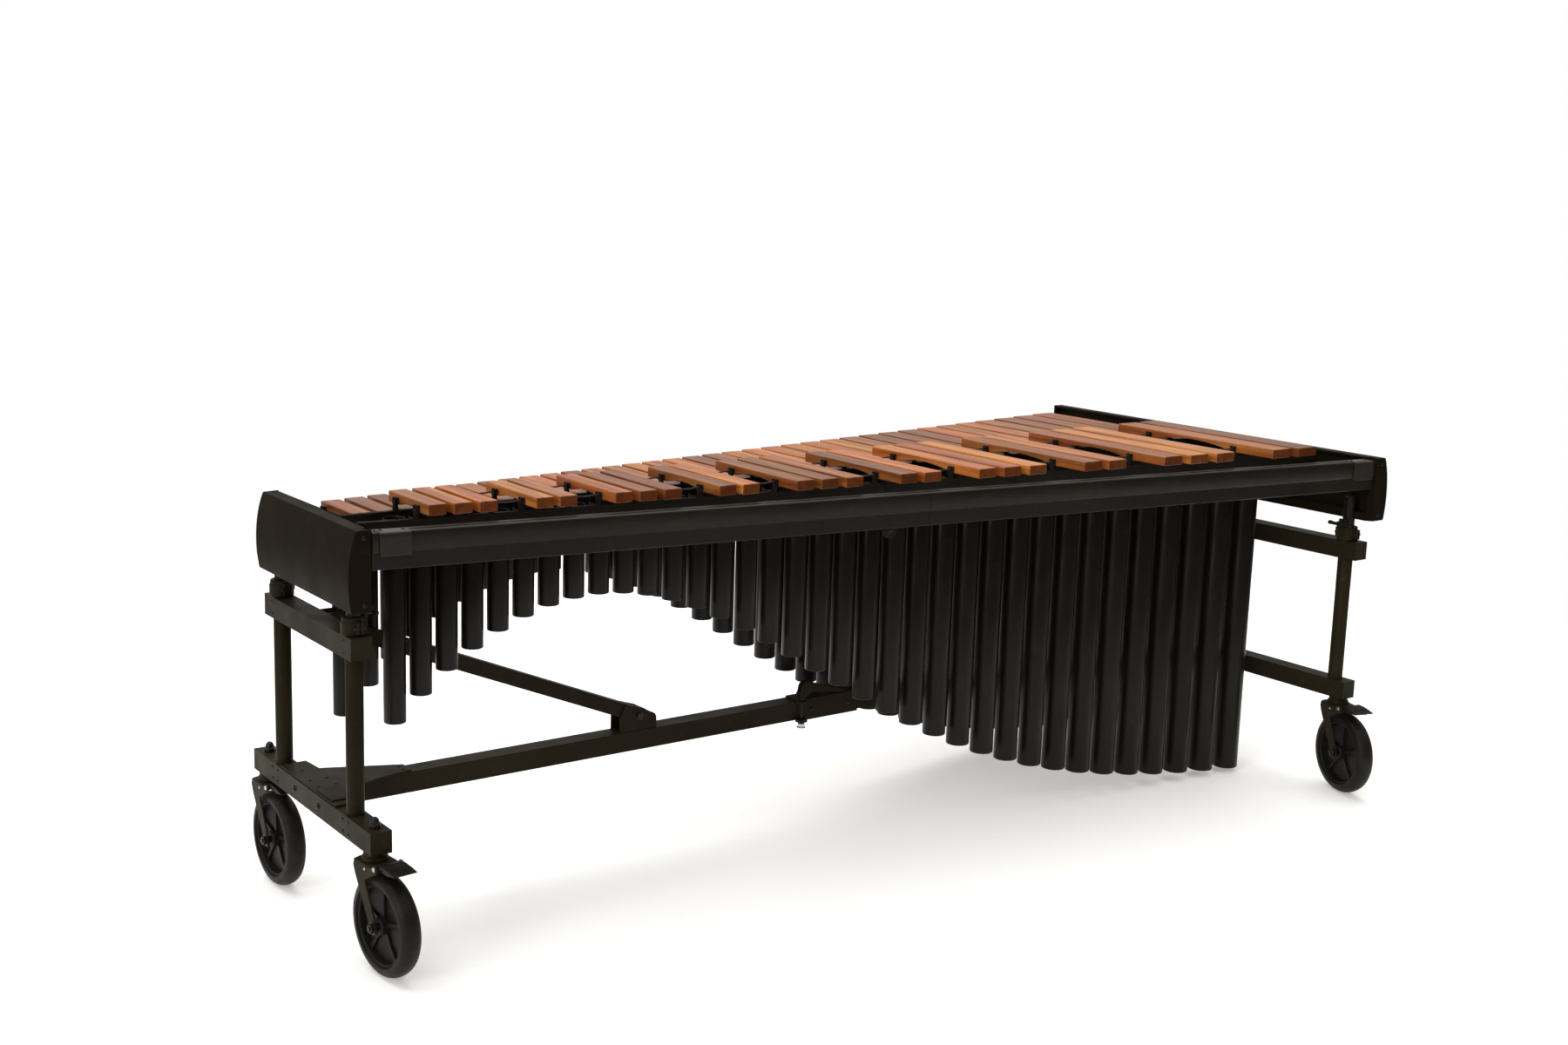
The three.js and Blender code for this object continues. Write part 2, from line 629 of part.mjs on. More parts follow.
function tubeRadius(x) {
  const { growFrom, growTo, rHigh, rLow } = TUBE;
  const reach = THREE.MathUtils.clamp(x, growFrom, growTo);
  return THREE.MathUtils.mapLinear(reach, growFrom, growTo, rHigh, rLow);
}

function resonatorTube(x, y, station, mouth) {
  const r = tubeRadius(x);
  const inner = r - TUBE.wall;
  const bottom = tubeBottom(station);
  const profile = [
    [0, bottom],
    [r, bottom],
    [r, mouth],
    [inner, mouth],
    [inner, bottom + TUBE.wall],
    [0, bottom + TUBE.wall],
  ];
  const points = profile.map(([a, b]) => new THREE.Vector2(a, b));
  return new THREE.LatheGeometry(points, TUBE.sides).rotateX(Math.PI / 2).translate(x, y, 0);
}

function bankStations(bank) {
  if (bank === "back") return cells.map(({ centre }, i) => ({ x: centre, station: i - 0.5 }));
  return cells.slice(1).map(({ centre }, i) => ({ x: (centre + cells[i].centre) / 2, station: i }));
}

// Half a bank: its tubes held between two strips that hang from the end board. The halves part
// in the gap between two tubes that is nearest the keyboard's seam.
function resonatorBank(end, bank) {
  const stations = bankStations(bank);
  const after = stations.findIndex(({ x }) => x > SEAM_X);
  const seam = (stations[after - 1].x + stations[after].x) / 2;
  const [x0, x1] = halfSpan(end, STRIP.endX, seam);
  const bends = [TUBE.growFrom, TUBE.growTo].filter((x) => x > x0 && x < x1);
  const inHalf = stations.filter(({ x }) => x > x0 && x < x1);
  const tubes = inHalf.map(({ x, station }) => resonatorTube(x, BANK_Y[bank](x), station, MOUTH_Z[bank]));
  const strips = [-1, 1].map((way) => {
    const route = (x) => BANK_Y[bank](x) + way * (tubeRadius(x) + 0.7);
    return ribbon([x0, ...bends, x1], route, STRIP.thick / 2, [STRIP.bottom, STRIP.top]);
  });
  const ties = [x0, x1 - 4].map((x) => {
    const reach = tubeRadius(x) + 2;
    return box([x, x + 4], around(BANK_Y[bank](x + 2), reach), [STRIP.bottom, STRIP.top]);
  });
  return join(...tubes, ...strips, ...ties);
}

// ---- assembly ----

for (const end of ENDS) {
  add(`lower_crossbeam_${end}`, lowerCrossbeam(end), BLACK);
  add(`upper_crossbeam_${end}`, upperCrossbeam(end), BLACK);
  add(`gusset_plate_${end}`, gussetPlate(end), BLACK);
  add(`spine_beam_${end}`, spineBeam(end), BLACK);
  add(`brace_${end}`, brace(end), BLACK);
  add(`end_panel_${end}`, endPanel(end), BLACK);
  add(`front_rail_${end}`, frontRail(end), BLACK);
  add(`center_rails_${end}`, centerRails(end), BLACK);
  add(`accidental_rail_${end}`, join(...nodeRail(end, RAIL_Y.accidental, "accidental")), BLACK);
  add(`natural_rail_${end}`, join(...nodeRail(end, RAIL_Y.natural, "natural")), BLACK);
  for (const side of SIDES) {
    add(`leg_tube_${side}_${end}`, legTube(end, side), BLACK);
    add(`height_collar_${side}_${end}`, heightCollar(end, side), BLACK);
    add(`height_rod_${side}_${end}`, heightRod(end, side), BLACK);
    add(`height_knob_${side}_${end}`, heightKnob(end, side), BLACK);
    addCaster(end, side);
    add(`resonators_${side}_${end}`, resonatorBank(end, side), BLACK);
  }
  const inHalf = ({ centre }) => (end === "high" ? centre < SEAM_X : centre > SEAM_X);
  const naturalCords = [RAIL_Y.naturalInner, RAIL_Y.natural];
  const accidentalCords = [RAIL_Y.accidental, RAIL_Y.accidentalInner];
  add(`natural_bars_${end}`, strungBars(cells.filter(inHalf), "natural", naturalCords), WOOD);
  add(`accidental_bars_${end}`, strungBars(accidentals().filter(inHalf), "accidental", accidentalCords), WOOD);
}
add("spine_sleeve", spineSleeve(), BLACK);
add("latch_rod", latchRod(), STEEL);
add("latch_lever", latchLever(), BLACK);
add("rail_latch_knob", railLatchKnob(), BLACK);

const bounds = new THREE.Box3().setFromObject(bench, true);
const centre = bounds.getCenter(new THREE.Vector3());
bench.position.set(-centre.x, -centre.y, -bounds.min.z);

export default marimba;
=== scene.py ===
"""Looks for a five-octave concert marimba: fine pieces, materials, light and camera.

Measures are millimetres on a bench whose X starts at the high-note crossbeam's outer face, whose Y starts
at that beam's audience end and whose Z starts at the floor. Piece.done() moves them into the frame, in
metres.
"""
import math
import random

import bmesh
import bpy
from mathutils import Matrix, Vector


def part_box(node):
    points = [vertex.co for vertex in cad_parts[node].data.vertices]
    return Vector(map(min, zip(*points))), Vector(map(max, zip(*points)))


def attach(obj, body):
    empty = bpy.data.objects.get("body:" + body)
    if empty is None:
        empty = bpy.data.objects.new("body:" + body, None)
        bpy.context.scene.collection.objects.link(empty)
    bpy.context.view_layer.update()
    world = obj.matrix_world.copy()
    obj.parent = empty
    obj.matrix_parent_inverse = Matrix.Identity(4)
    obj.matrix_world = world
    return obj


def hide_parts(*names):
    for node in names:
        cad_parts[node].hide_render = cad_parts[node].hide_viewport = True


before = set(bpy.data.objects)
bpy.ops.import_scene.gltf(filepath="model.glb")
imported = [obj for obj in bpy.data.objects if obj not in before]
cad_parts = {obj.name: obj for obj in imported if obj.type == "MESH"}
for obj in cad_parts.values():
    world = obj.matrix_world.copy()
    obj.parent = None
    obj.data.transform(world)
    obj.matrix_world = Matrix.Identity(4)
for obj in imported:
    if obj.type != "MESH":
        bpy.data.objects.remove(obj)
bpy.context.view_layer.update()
random.seed(7)

MM = 0.001
ORIGIN = Vector(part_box("lower_crossbeam_high")[0])
ORIGIN.z = 0
TO_FRAME = Matrix.Translation(ORIGIN) @ Matrix.Scale(MM, 4)

ENDS = ("high", "low")
SIDES = ("front", "back")
CORNERS = [(end, side, f"{side}_{end}") for end in ENDS for side in SIDES]
INWARD = {"high": 1, "low": -1}
LENGTH = 2551.0
MIDDLE_X = 1276.5
SEAM_X = 1240.0
GAP = 0.3

# Stand, as in the CAD
BEAM, BEAM_EDGE = 44.0, 1.6
LOWER_TOP, UPPER_TOP = 279.0, 634.0
END_X = {"high": 22.0, "low": 2531.0}
LOWER_Y = {"high": (0, 590), "low": (-266, 812)}
UPPER_Y = {"high": (80.5, 511.7), "low": (-266, 805)}
LEG_Y = {"high": {"front": 116, "back": 473}, "low": {"front": -223, "back": 765}}
STEM_Y = {"high": {"front": 29, "back": 556}, "low": {"front": -238, "back": 783}}
SPINE_Y = 308.0
PLUG = {"half": 18.6, "inside": 6.0, "outside": 1.6}
STEM_NUT = {"r": 12.5, "top": 9.0}
STEM_TIP = [(0, 8), (9.2, 8), (9.2, 12), (7.4, 17), (4, 20.5), (0, 21.5)]
GUSSET = {"thick": 4.0, "near": 166.0, "far": 450.0, "tip": 200.0}
GUSSET_BOLTS = [(186, -10), (186, 12), (-4, -22), (-4, 22), (32, -22), (32, 22), (6, 88), (-8, 122),
                (48, -52), (20, -70)]
LEG = {"r": 17.5, "rim": 16.8, "bore": 15.5, "top": 660.0, "floor": 8.0}
ROD = {"r": 14.5, "foot": 380.0, "head": 745.0, "edge": 1.0}
# Near-black discs on the rods where the height holes are: painted shade
HOLE_SHADE = {"r": 2.6, "first": 698.0, "pitch": 12.5, "count": 4, "before": 0.5, "beyond": 0.12}
COLLAR = {"r": 25.0, "bore": 17.8, "neck": 15.2, "neck_z": 661.0, "top": 669.0}
CLAMP = {"split": 3.9, "half": 3.1, "bolt_y": 26.5, "bolt_z": 651.0, "reach": 7.0}
KNOB = {"z": 677.0, "face": 25.6, "shaft": 3.4, "hub": 7.5, "hub_long": 14.0}
BRACE = {"pivot": 500.0, "z": 312.0, "washer": 10.0, "nut": 8.5}
LATCH = {"x": 1221.0, "y": SPINE_Y - 33.0, "z": 300.0, "cam": 11.0, "rod": 2.2, "rod_foot": 222.0}
SLEEVE_SCREWS_X, SLEEVE_FACE_Y = (1257.0, 1367.0), SPINE_Y - 25.3

# End boards
PANEL = {"inner": 24.7, "top": 848.0, "bottom": 692.0, "edge": 2.0}
PANEL_BOW = [(-5.5, 848.0), (-23.0, 808.0), (-27.0, 742.0), (-16.0, 692.0)]
PANEL_Y = {"high": (37, 496.7), "low": (-293.7, 800)}
PANEL_WALL = {"front": 22.0, "back": 7.0, "floor": 16.0, "top": 6.0}
PANEL_SCREW = {"inset": 15.0, "front_x": 9.0, "back_x": 7.0}
POCKET_X = 3.0

# Bars: how a natural's cell and gap grow from the first to the last
BARS = 36
CELL = {"start": 77.1, "first": 53.7, "grow": 5.2, "bend": 30.8, "gap": 12.2, "gap_grow": 3.8}
OCTAVE = 7
ACCIDENTAL_SHIFT = {1: 3.0, 2: 0.0, 3: -3.0, 5: 3.0, 6: -3.0}
ACCIDENTAL_SHARE = 0.93
BAR_THICK, BAR_EDGE = 22.0, 2.2
BAR_ARCH = {"lift": 12.0, "at_length": 520.0, "least": 2.5, "start": 0.26, "share": 0.48, "steps": 16}
TOP_Z = {"natural": 835.5, "accidental": 872.0}

# Rails, posts and cords
FRONT_RAIL = {"top": 842.5, "crease": 804.0, "bottom": 770.5, "depth": 34.0, "recess": 4.0, "round": 5.0}
NODE_RAIL = {"drop": 10.0, "tall": 34.0, "web": 3.2, "flange": 5.0, "foot": 30.0}
TIE = {"half": 12.0, "rib": 1.6, "z": (778, 781), "rib_z": (781, 790), "inset": 6.0, "bolt": 7.0}
RAIL_HOOK = {"start": 12.0, "stop": 72.0, "bolt": 22.0}
RAIL_LATCH = {"x": 1150.0, "r": 19.0, "half": 2.6, "drop": 3.0, "hub": 8.0, "rib_at": 16.0, "rib": 2.4}
POST = {"r": 2.6, "outside": 6.0, "beside": 7.0, "wide_gap": 40.0, "clear": 4.0, "fork": 4.6}
CORD_R, CORD_DIP, CORD_STEPS, FAR_POSTS = 1.8, 3.0, 4, 30.0

# Resonators
TUBE = {"high": 22.2, "low": 31.5, "from": 700.0, "to": 2300.0, "wall": 1.6, "bore": 30.0, "foot": 2.0}
# A near-black liner down each tube's bore and over its floor: painted shade for the tube's dark depth
BORE_SHADE_LINER = {"outer": 0.2, "inner": 0.6, "under": 0.5, "floor": 1.0, "below_mouth": 2.0}
TUBE_ARCH = {"at": 8, "top": 648.0, "high_drop": 3.4, "low_foot": -6.0, "low_spread": 13.8}
MOUTH_Z = {"front": 838.0, "back": 802.0}
STRIP = {"end": 30.0, "half": 1.2, "z": (744.0, 768.0), "cap": 4.0}

# Casters. The wheel's sections are in (radius, side), the cup's in (radius, z), the crown's in (x, y) and
# the fork's in (x, z) from the swivel axis, and the pedal's in (x, z) from its pivot.
WHEEL_R, WHEEL_HALF, TRAIL = 100.6, 21.5, 41.0
CASTER_TURN = {"high": {"front": -84, "back": -88}, "low": {"front": -109, "back": -100}}
TREAD = {"seat": 80.5, "crown": 20.1, "fullness": 0.72, "steps": 20}
RIM = [(79, -16), (79, 16), (76, 17.5), (73.5, 15), (72, 3), (72, -3), (73.5, -15), (76, -17.5)]
HUB = [(7, -20), (15, -20), (17, -18), (17.5, -5), (17.5, 5), (17, 18), (15, 20), (7, 20)]
WEB = [(16, -2.5), (40, -3.2), (74, -2.5), (74, 2.5), (40, 3.2), (16, 2.5)]
SPOKE, SPOKES, SPOKE_HALF, SPOKE_TURN = [(15, 5.0), (44, 3.2), (73, 5.5)], 5, 8.5, 0.3
STEM_CUP = [(0, 217), (25, 217), (26, 219), (26, 222.5), (24.5, 223.5), (24.5, 226), (22, 227), (22, 232),
            (20, 234.5), (0, 234.5)]
FORK_CROWN = [(-27, -30), (30, -30), (30, 30), (-27, 30), (-33, 14), (-33, -14)]
FORK_BACK = [(-27, 217), (-30, 205), (-24, 190)]
FORK_FRONT = [(12, 186), (36, 200), (54, 210), (54, 224), (44, 224), (38, 217)]
PEDAL_X, PEDAL_Z = 46.0, 217.0
PEDAL_PLATE = [(-4, -5), (-5, 3), (4, 8), (22, 9.5), (46, 7), (64, 3.6), (63.4, 1.6), (46, 3.4), (22, 5),
               (8, 1), (4, -5)]
PEDAL_RIB = [(6, -3), (12, 3.4), (52, 3), (52, -1), (30, -5)]
PEDAL_SHOE = [(20, -6), (50, -4), (52, 3), (18, 4)]

# Colours in linear light, some with their places on a ramp
ROSEWOOD = ((0.30, (0.20, 0.048, 0.010)), (0.44, (0.38, 0.112, 0.021)),
            (0.58, (0.52, 0.178, 0.036)), (0.74, (0.66, 0.262, 0.062)))
WOOD_VEIN = (0.20, 0.042, 0.010, 1)
WOOD_FIBRE = (0.19, 0.048, 0.013, 1)
WOOD_PORE = (0.10, 0.025, 0.008, 1)
# Darker colour for the bars' end faces: partly real end grain, partly painted shade
END_GRAIN_AND_SHADE = (0.17, 0.036, 0.008, 1)
STEEL_TONES = ((0.35, (0.42, 0.40, 0.37)), (0.7, (0.66, 0.64, 0.60)))
FLOOR_TONES = ((0.3, (0.885, 0.884, 0.880)), (0.7, (0.90, 0.90, 0.897)))


def line(at_high, at_low):
    """A straight line across the instrument, as a function of x."""
    return lambda x: at_high + (at_low - at_high) * x / LENGTH


ROW_Y = {
    "natural": (line(240, 228), line(396, 772)),
    "accidental": (line(120, -217), line(271, 318)),
}
RAIL_Y = {
    "front": line(36, -291),
    "accidental": line(153, -97),
    "accidental_inner": line(232, 198),
    "natural_inner": line(274, 349),
    "natural": line(376, 650),
}
BANK_Y = {"front": line(181, -29), "back": line(348, 480)}


# ---- outlines ----

def around(centre, half):
    return (centre - half, centre + half)


def beyond(place, way, near, far):
    """The stretch between two distances from a place, on one side of it."""
    return sorted((place + way * near, place + way * far))


def turns(start, stop, steps):
    """Angles in radians from one in degrees to another, both included."""
    return [math.radians(start + (stop - start) * i / steps) for i in range(steps + 1)]


def arc(centre, r, start, stop, steps=10):
    """Points on a circle between two angles in degrees."""
    return [(centre[0] + r * math.cos(a), centre[1] + r * math.sin(a)) for a in turns(start, stop, steps)]


def curve(points, steps=10):
    """Points along a cubic Bezier with four control points."""
    a, b, c, d = (Vector(p) for p in points)
    out = []
    for i in range(steps + 1):
        t = i / steps
        s = 1 - t
        out.append(tuple(a * s**3 + b * 3 * s * s * t + c * 3 * s * t * t + d * t**3))
    return out


# ---- mesh making ----

# Where a point (a, b) of an outline goes at height h along an axis
ALONG = {
    "X": lambda a, b, h: (h, a, b),
    "Y": lambda a, b, h: (a, h, b),
    "Z": lambda a, b, h: (a, b, h),
}
# A screw head, as shares of its radius and height
BOLT_HEAD = ((1, 0.45), (0.8, 0.85), (0.45, 1), (0.4, 0.5), (0, 0.5))
BOLT_SUNK = 0.2
HEX_EDGE, HEX_FLAT = 1, 0.9
SHARP_ANGLE, BEVEL_ANGLE = 35, 40


def new_object(name, data):
    made = bpy.data.objects.new(name, data)
    bpy.context.scene.collection.objects.link(made)
    return made


def round_edges(made, width, segments=2):
    bevel = made.modifiers.new("rounded", "BEVEL")
    bevel.width = width * MM
    bevel.segments = segments
    bevel.limit_method = "ANGLE"
    bevel.angle_limit = math.radians(BEVEL_ANGLE)
    bevel.harden_normals = True


class Piece:
    """Collects solids in bench millimetres and turns them into one object."""

    def __init__(self, place=None):
        self.bm = bmesh.new()
        self.place = place or Matrix.Identity(4)

    def vert(self, x, y, z):
        return self.bm.verts.new(self.place @ Vector((x, y, z)))

    def skin(self, rings):
        """Faces between rings of equal length, with flat ends."""
        count = len(rings[0])
        for one, two in zip(rings, rings[1:]):
            for i in range(count):
                j = (i + 1) % count
                self.bm.faces.new((one[i], one[j], two[j], two[i]))
        self.bm.faces.new(list(reversed(rings[0])))
        self.bm.faces.new(rings[-1])
        return self

    def prism(self, outline, axis, low, high):
        """A closed outline pushed along an axis. It holds (y, z), (x, z) or (x, y) pairs."""
        return self.skin([[self.vert(*ALONG[axis](a, b, h)) for a, b in outline] for h in (low, high)])

    def box(self, x, y, z):
        corners = [(x[0], y[0]), (x[1], y[0]), (x[1], y[1]), (x[0], y[1])]
        return self.prism(corners, "Z", z[0], z[1])

    def swept(self, outline_at, stations):
        """An outline in (y, z) that changes along x, through the given stations."""
        return self.skin([[self.vert(x, y, z) for y, z in outline_at(x)] for x in stations])

    def slant(self, stations, route, side, z):
        """A bar that follows a route through x stations, between two offsets in y and two heights."""
        def outline_at(x):
            y = route(x)
            return [(y + side[0], z[0]), (y + side[1], z[0]), (y + side[1], z[1]), (y + side[0], z[1])]
        return self.swept(outline_at, stations)

    def lathe(self, profile, centre, axis="Z", sides=40, closed=False):
        """(radius, height) pairs turned about an axis. Open profiles start and end on it."""
        rings = []
        for r, h in profile:
            angles = [2 * math.pi * i / sides for i in range(sides if r else 1)]
            spots = [ALONG[axis](r * math.cos(a), r * math.sin(a), h) for a in angles]
            rings.append([self.vert(*(c + s for c, s in zip(centre, spot))) for spot in spots])
        pairs = list(zip(rings, rings[1:]))
        if closed:
            pairs.append((rings[-1], rings[0]))
        for one, two in pairs:
            for i in range(sides):
                j = (i + 1) % sides
                quad = [one[i % len(one)], one[j % len(one)], two[j % len(two)], two[i % len(two)]]
                self.bm.faces.new(list(dict.fromkeys(quad)))
        return self

    def rod(self, centre, r, low, high, axis="Z", sides=32, edge=0.0):
        """A plain round bar between two heights about its centre, with chamfered rims if edge is set."""
        profile = [(0, low), (r, low), (r, high), (0, high)]
        if edge:
            profile[1:3] = [(r - edge, low), (r, low + edge), (r, high - edge), (r - edge, high)]
        return self.lathe(profile, centre, axis, sides)

    def bolt(self, centre, axis, way, r=4.2, height=3.0):
        """A domed socket-screw head that stands out of a face."""
        sunk = -BOLT_SUNK * way
        head = [(r * across, way * height * up) for across, up in BOLT_HEAD]
        return self.lathe([(0, sunk), (r, sunk), *head], centre, axis, 14)

    def hexagon(self, centre, r, low, high, axis="Z"):
        flat = r * HEX_FLAT
        profile = [(0, low), (flat, low), (r, low + HEX_EDGE), (r, high - HEX_EDGE), (flat, high), (0, high)]
        return self.lathe(profile, centre, axis, 6)

    def cord(self, points, r, sides=8):
        """A round tube through points, square to X at each."""
        around_it = [2 * math.pi * i / sides for i in range(sides)]
        return self.skin([
            [self.vert(x, y + r * math.cos(a), z + r * math.sin(a)) for a in around_it]
            for x, y, z in points
        ])

    def done(self, name, look, body, stands_for=(), bevel=0.0, smooth=SHARP_ANGLE, segments=2):
        """The finished object, riding a body, and replacing its CAD nodes if it has any."""
        bmesh.ops.recalc_face_normals(self.bm, faces=self.bm.faces)
        mesh = bpy.data.meshes.new(name)
        self.bm.transform(TO_FRAME)
        self.bm.to_mesh(mesh)
        self.bm.free()
        for face in mesh.polygons:
            face.use_smooth = True
        mesh.set_sharp_from_angle(angle=math.radians(smooth))
        made = new_object(name, mesh)
        mesh.materials.append(look)
        if bevel:
            round_edges(made, bevel, segments)
        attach(made, body)
        if stands_for:
            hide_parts(*stands_for)
        return made


# ---- materials ----

class Nodes:
    """Short ways to add shader nodes to a tree. A value is a number, a colour or another node's output."""

    def __init__(self, tree):
        self.tree = tree

    def node(self, kind, **inputs):
        made = self.tree.nodes.new(f"ShaderNode{kind}")
        self.feed(made, inputs)
        return made

    def feed(self, made, inputs):
        """Fills a node's inputs by name, with _ for a space, or by number."""
        for key, value in inputs.items():
            socket = made.inputs[key.replace("_", " ") if isinstance(key, str) else key]
            if isinstance(value, bpy.types.NodeSocket):
                self.tree.links.new(value, socket)
            else:
                socket.default_value = value

    def maths(self, kind, operation, *values):
        made = self.node(kind)
        made.operation = operation
        self.feed(made, dict(enumerate(values)))
        return made.outputs

    def ramp(self, value, *stops):
        made = self.node("ValToRGB", Fac=value)
        elements = made.color_ramp.elements
        while len(elements) < len(stops):
            elements.new(0.5)
        for element, (place, colour) in zip(elements, stops):
            element.position = place
            element.color = (*colour, 1)
        return made.outputs["Color"]

    def ranged(self, value, low, high, start=0.3, stop=0.7):
        return self.node("MapRange", Value=value, From_Min=start, From_Max=stop, To_Min=low,
                         To_Max=high).outputs["Result"]


class Look(Nodes):
    """A material built from noise in the object's own space."""

    def __init__(self, name):
        self.material = bpy.data.materials.new(f"{name}_look")
        self.material.use_nodes = True
        super().__init__(self.material.node_tree)
        self.shader = self.tree.nodes["Principled BSDF"]
        coordinates = self.node("TexCoord").outputs
        self.where, self.normal = coordinates["Object"], coordinates["Normal"]

    def stretched(self, scale, source=None):
        return self.node("Mapping", Vector=source or self.where, Scale=scale).outputs["Vector"]

    def noise(self, scale, where=None, detail=4.0, distortion=0.0):
        return self.node("TexNoise", Vector=where or self.where, Scale=scale, Detail=detail,
                         Distortion=distortion).outputs["Fac"]

    def mix(self, factor, one, two):
        made = self.node("Mix")
        made.data_type = "RGBA"
        self.feed(made, {0: factor, 6: one, 7: two})
        return made.outputs[2]

    def bump(self, height, strength, distance):
        made = self.node("Bump", Height=height, Strength=strength, Distance=distance)
        self.set(Normal=made.outputs["Normal"])

    def set(self, **inputs):
        self.feed(self.shader, inputs)


def painted(name, dark, light, rough, spec, metal=0.0, texture=900.0, bump=0.12, streak=(1, 1, 1)):
    """Fine powder coat or anodising with slow changes of tone, and faint wear where it is handled."""
    look = Look(name)
    cloud = look.noise(3.0, look.stretched(streak), detail=6.0)
    speck = look.noise(texture, detail=2.0)
    tone = look.ramp(cloud, (0.3, dark), (0.7, light))
    rub = look.ranged(look.noise(38.0, detail=8.0), 0.0, 0.35, 0.58, 0.8)
    worn = tuple(1.8 * c + 0.004 for c in light)
    look.set(Base_Color=look.mix(rub, tone, (*worn, 1)), Metallic=metal, Specular_IOR_Level=spec)
    look.set(Roughness=look.ranged(look.noise(14.0, detail=5.0), rough - 0.06, rough + 0.08))
    look.bump(speck, bump, 0.0004)
    return look.material


def wood_grain(look, place):
    """Broad bands, darker veins, fibres and pores, all drawn out along the bar."""
    band = look.noise(1.0, look.stretched((60, 2.4, 34), place), detail=5.0, distortion=0.9)
    streak = look.noise(1.0, look.stretched((210, 3.5, 120), place), detail=4.0, distortion=0.4)
    fibre = look.noise(1.0, look.stretched((700, 16, 700), place), detail=3.0)
    pore = look.noise(1.0, look.stretched((1500, 60, 1500), place), detail=1.0)
    veined = look.mix(look.ranged(streak, 0.0, 0.6, 0.48, 0.66), look.ramp(band, *ROSEWOOD), WOOD_VEIN)
    lined = look.mix(look.ranged(fibre, 0.0, 0.35, 0.45, 0.7), veined, WOOD_FIBRE)
    return look.mix(look.ranged(pore, 0.0, 0.5, 0.62, 0.75), lined, WOOD_PORE), fibre


def bar_wood():
    """Rosewood. Each bar has its own tone and its own figure, and its end faces are darker: real end grain,
    with painted shade over it.
    """
    look = Look("bar_wood")
    tone = look.node("Attribute")
    tone.attribute_name = "tone"
    own = tone.outputs["Vector"]
    grain, fibre = wood_grain(look, look.maths("VectorMath", "ADD", look.where, own)[0])
    parts = look.node("SeparateXYZ", Vector=own).outputs
    value = look.ranged(parts["X"], 0.42, 1.22, 0.0, 1.0)
    hue = look.ranged(parts["Y"], 0.494, 0.508, 0.0, 1.0)
    toned = look.node("HueSaturation", Color=grain, Value=value, Hue=hue).outputs["Color"]
    facing = look.node("SeparateXYZ", Vector=look.normal).outputs["Y"]
    # End faces are darkened: partly the wood's real end grain, partly painted shade.
    end = look.ranged(look.maths("Math", "ABSOLUTE", facing)[0], 0.0, 0.72, 0.6, 0.95)
    look.set(Base_Color=look.mix(end, toned, END_GRAIN_AND_SHADE), Specular_IOR_Level=0.26)
    look.set(Roughness=look.ranged(fibre, 0.34, 0.46), Coat_Weight=0.14, Coat_Roughness=0.24)
    look.bump(fibre, 0.16, 0.0004)
    return look.material


def rubber(name, colour, rough):
    """Matt rubber with patches of pale dust."""
    look = Look(name)
    dust = look.ranged(look.noise(22.0, detail=7.0), 0.0, 0.5, 0.5, 0.75)
    dusty = tuple(c * 2.1 + 0.006 for c in colour)
    look.set(Base_Color=look.mix(dust, (*colour, 1), (*dusty, 1)), Specular_IOR_Level=0.14)
    look.set(Roughness=look.ranged(look.noise(60.0), rough - 0.08, rough + 0.1))
    look.bump(look.noise(1400.0, detail=2.0), 0.1, 0.0003)
    return look.material


def braided(name, colour):
    """A cord's woven sheath, paler on its strands."""
    look = Look(name)
    weave = look.node("TexWave", Vector=look.where, Scale=420.0, Distortion=1.2, Detail=1.0)
    pale = tuple(2.4 * c for c in colour)
    look.set(Base_Color=look.mix(look.ranged(weave.outputs["Fac"], 0, 1), (*colour, 1), (*pale, 1)))
    look.set(Roughness=look.ranged(look.noise(200.0), 0.7, 0.9))
    look.bump(weave.outputs["Fac"], 0.5, 0.0005)
    return look.material


def bare_steel():
    """Brushed plating with a slow tarnish."""
    look = Look("bare_steel")
    brushed = look.noise(1.0, look.stretched((60, 60, 1500)), detail=3.0)
    tone = look.ramp(look.noise(30.0, detail=6.0), *STEEL_TONES)
    look.set(Base_Color=tone, Metallic=1.0, Roughness=look.ranged(brushed, 0.24, 0.42))
    look.bump(brushed, 0.08, 0.0002)
    return look.material


PAINT = painted("frame_paint", (0.0155, 0.0115, 0.0056), (0.0230, 0.0176, 0.0096), 0.44, 0.045)
PANEL_PAINT = painted("panel_paint", (0.0085, 0.0058, 0.0030), (0.0130, 0.0092, 0.0052), 0.42, 0.016)
RAIL_PAINT = painted("rail_paint", (0.0080, 0.0062, 0.0040), (0.0125, 0.0100, 0.0068), 0.36, 0.15)
BRACKET_PAINT = painted("bracket_paint", (0.012, 0.010, 0.008), (0.022, 0.019, 0.015), 0.32, 0.30)
TUBE_PAINT = painted("tube_paint", (0.0062, 0.0046, 0.0030), (0.0098, 0.0074, 0.0050), 0.34, 0.14,
                     texture=500.0, bump=0.06, streak=(6, 6, 0.6))
# Near-black paint for tube bores and rod holes: painted shade for their dark depths.
BORE_SHADE_PAINT = painted("bore_shade", (0.003, 0.0025, 0.002), (0.006, 0.005, 0.004), 0.7, 0.05)
PLASTIC = painted("black_plastic", (0.0070, 0.0060, 0.0048), (0.0110, 0.0095, 0.0078), 0.50, 0.14,
                  texture=1500.0)
BOLT_BLACK = painted("bolt_black", (0.007, 0.006, 0.005), (0.015, 0.013, 0.011), 0.33, 0.25, metal=0.2)
WOOD = bar_wood()
TYRE = rubber("tyre_rubber", (0.0080, 0.0058, 0.0042), 0.46)
SLEEVE_RUBBER = rubber("post_rubber", (0.006, 0.0055, 0.005), 0.5)
CORD = braided("suspension_cord", (0.012, 0.011, 0.010))
STEEL = bare_steel()


# ---- keyboard ----

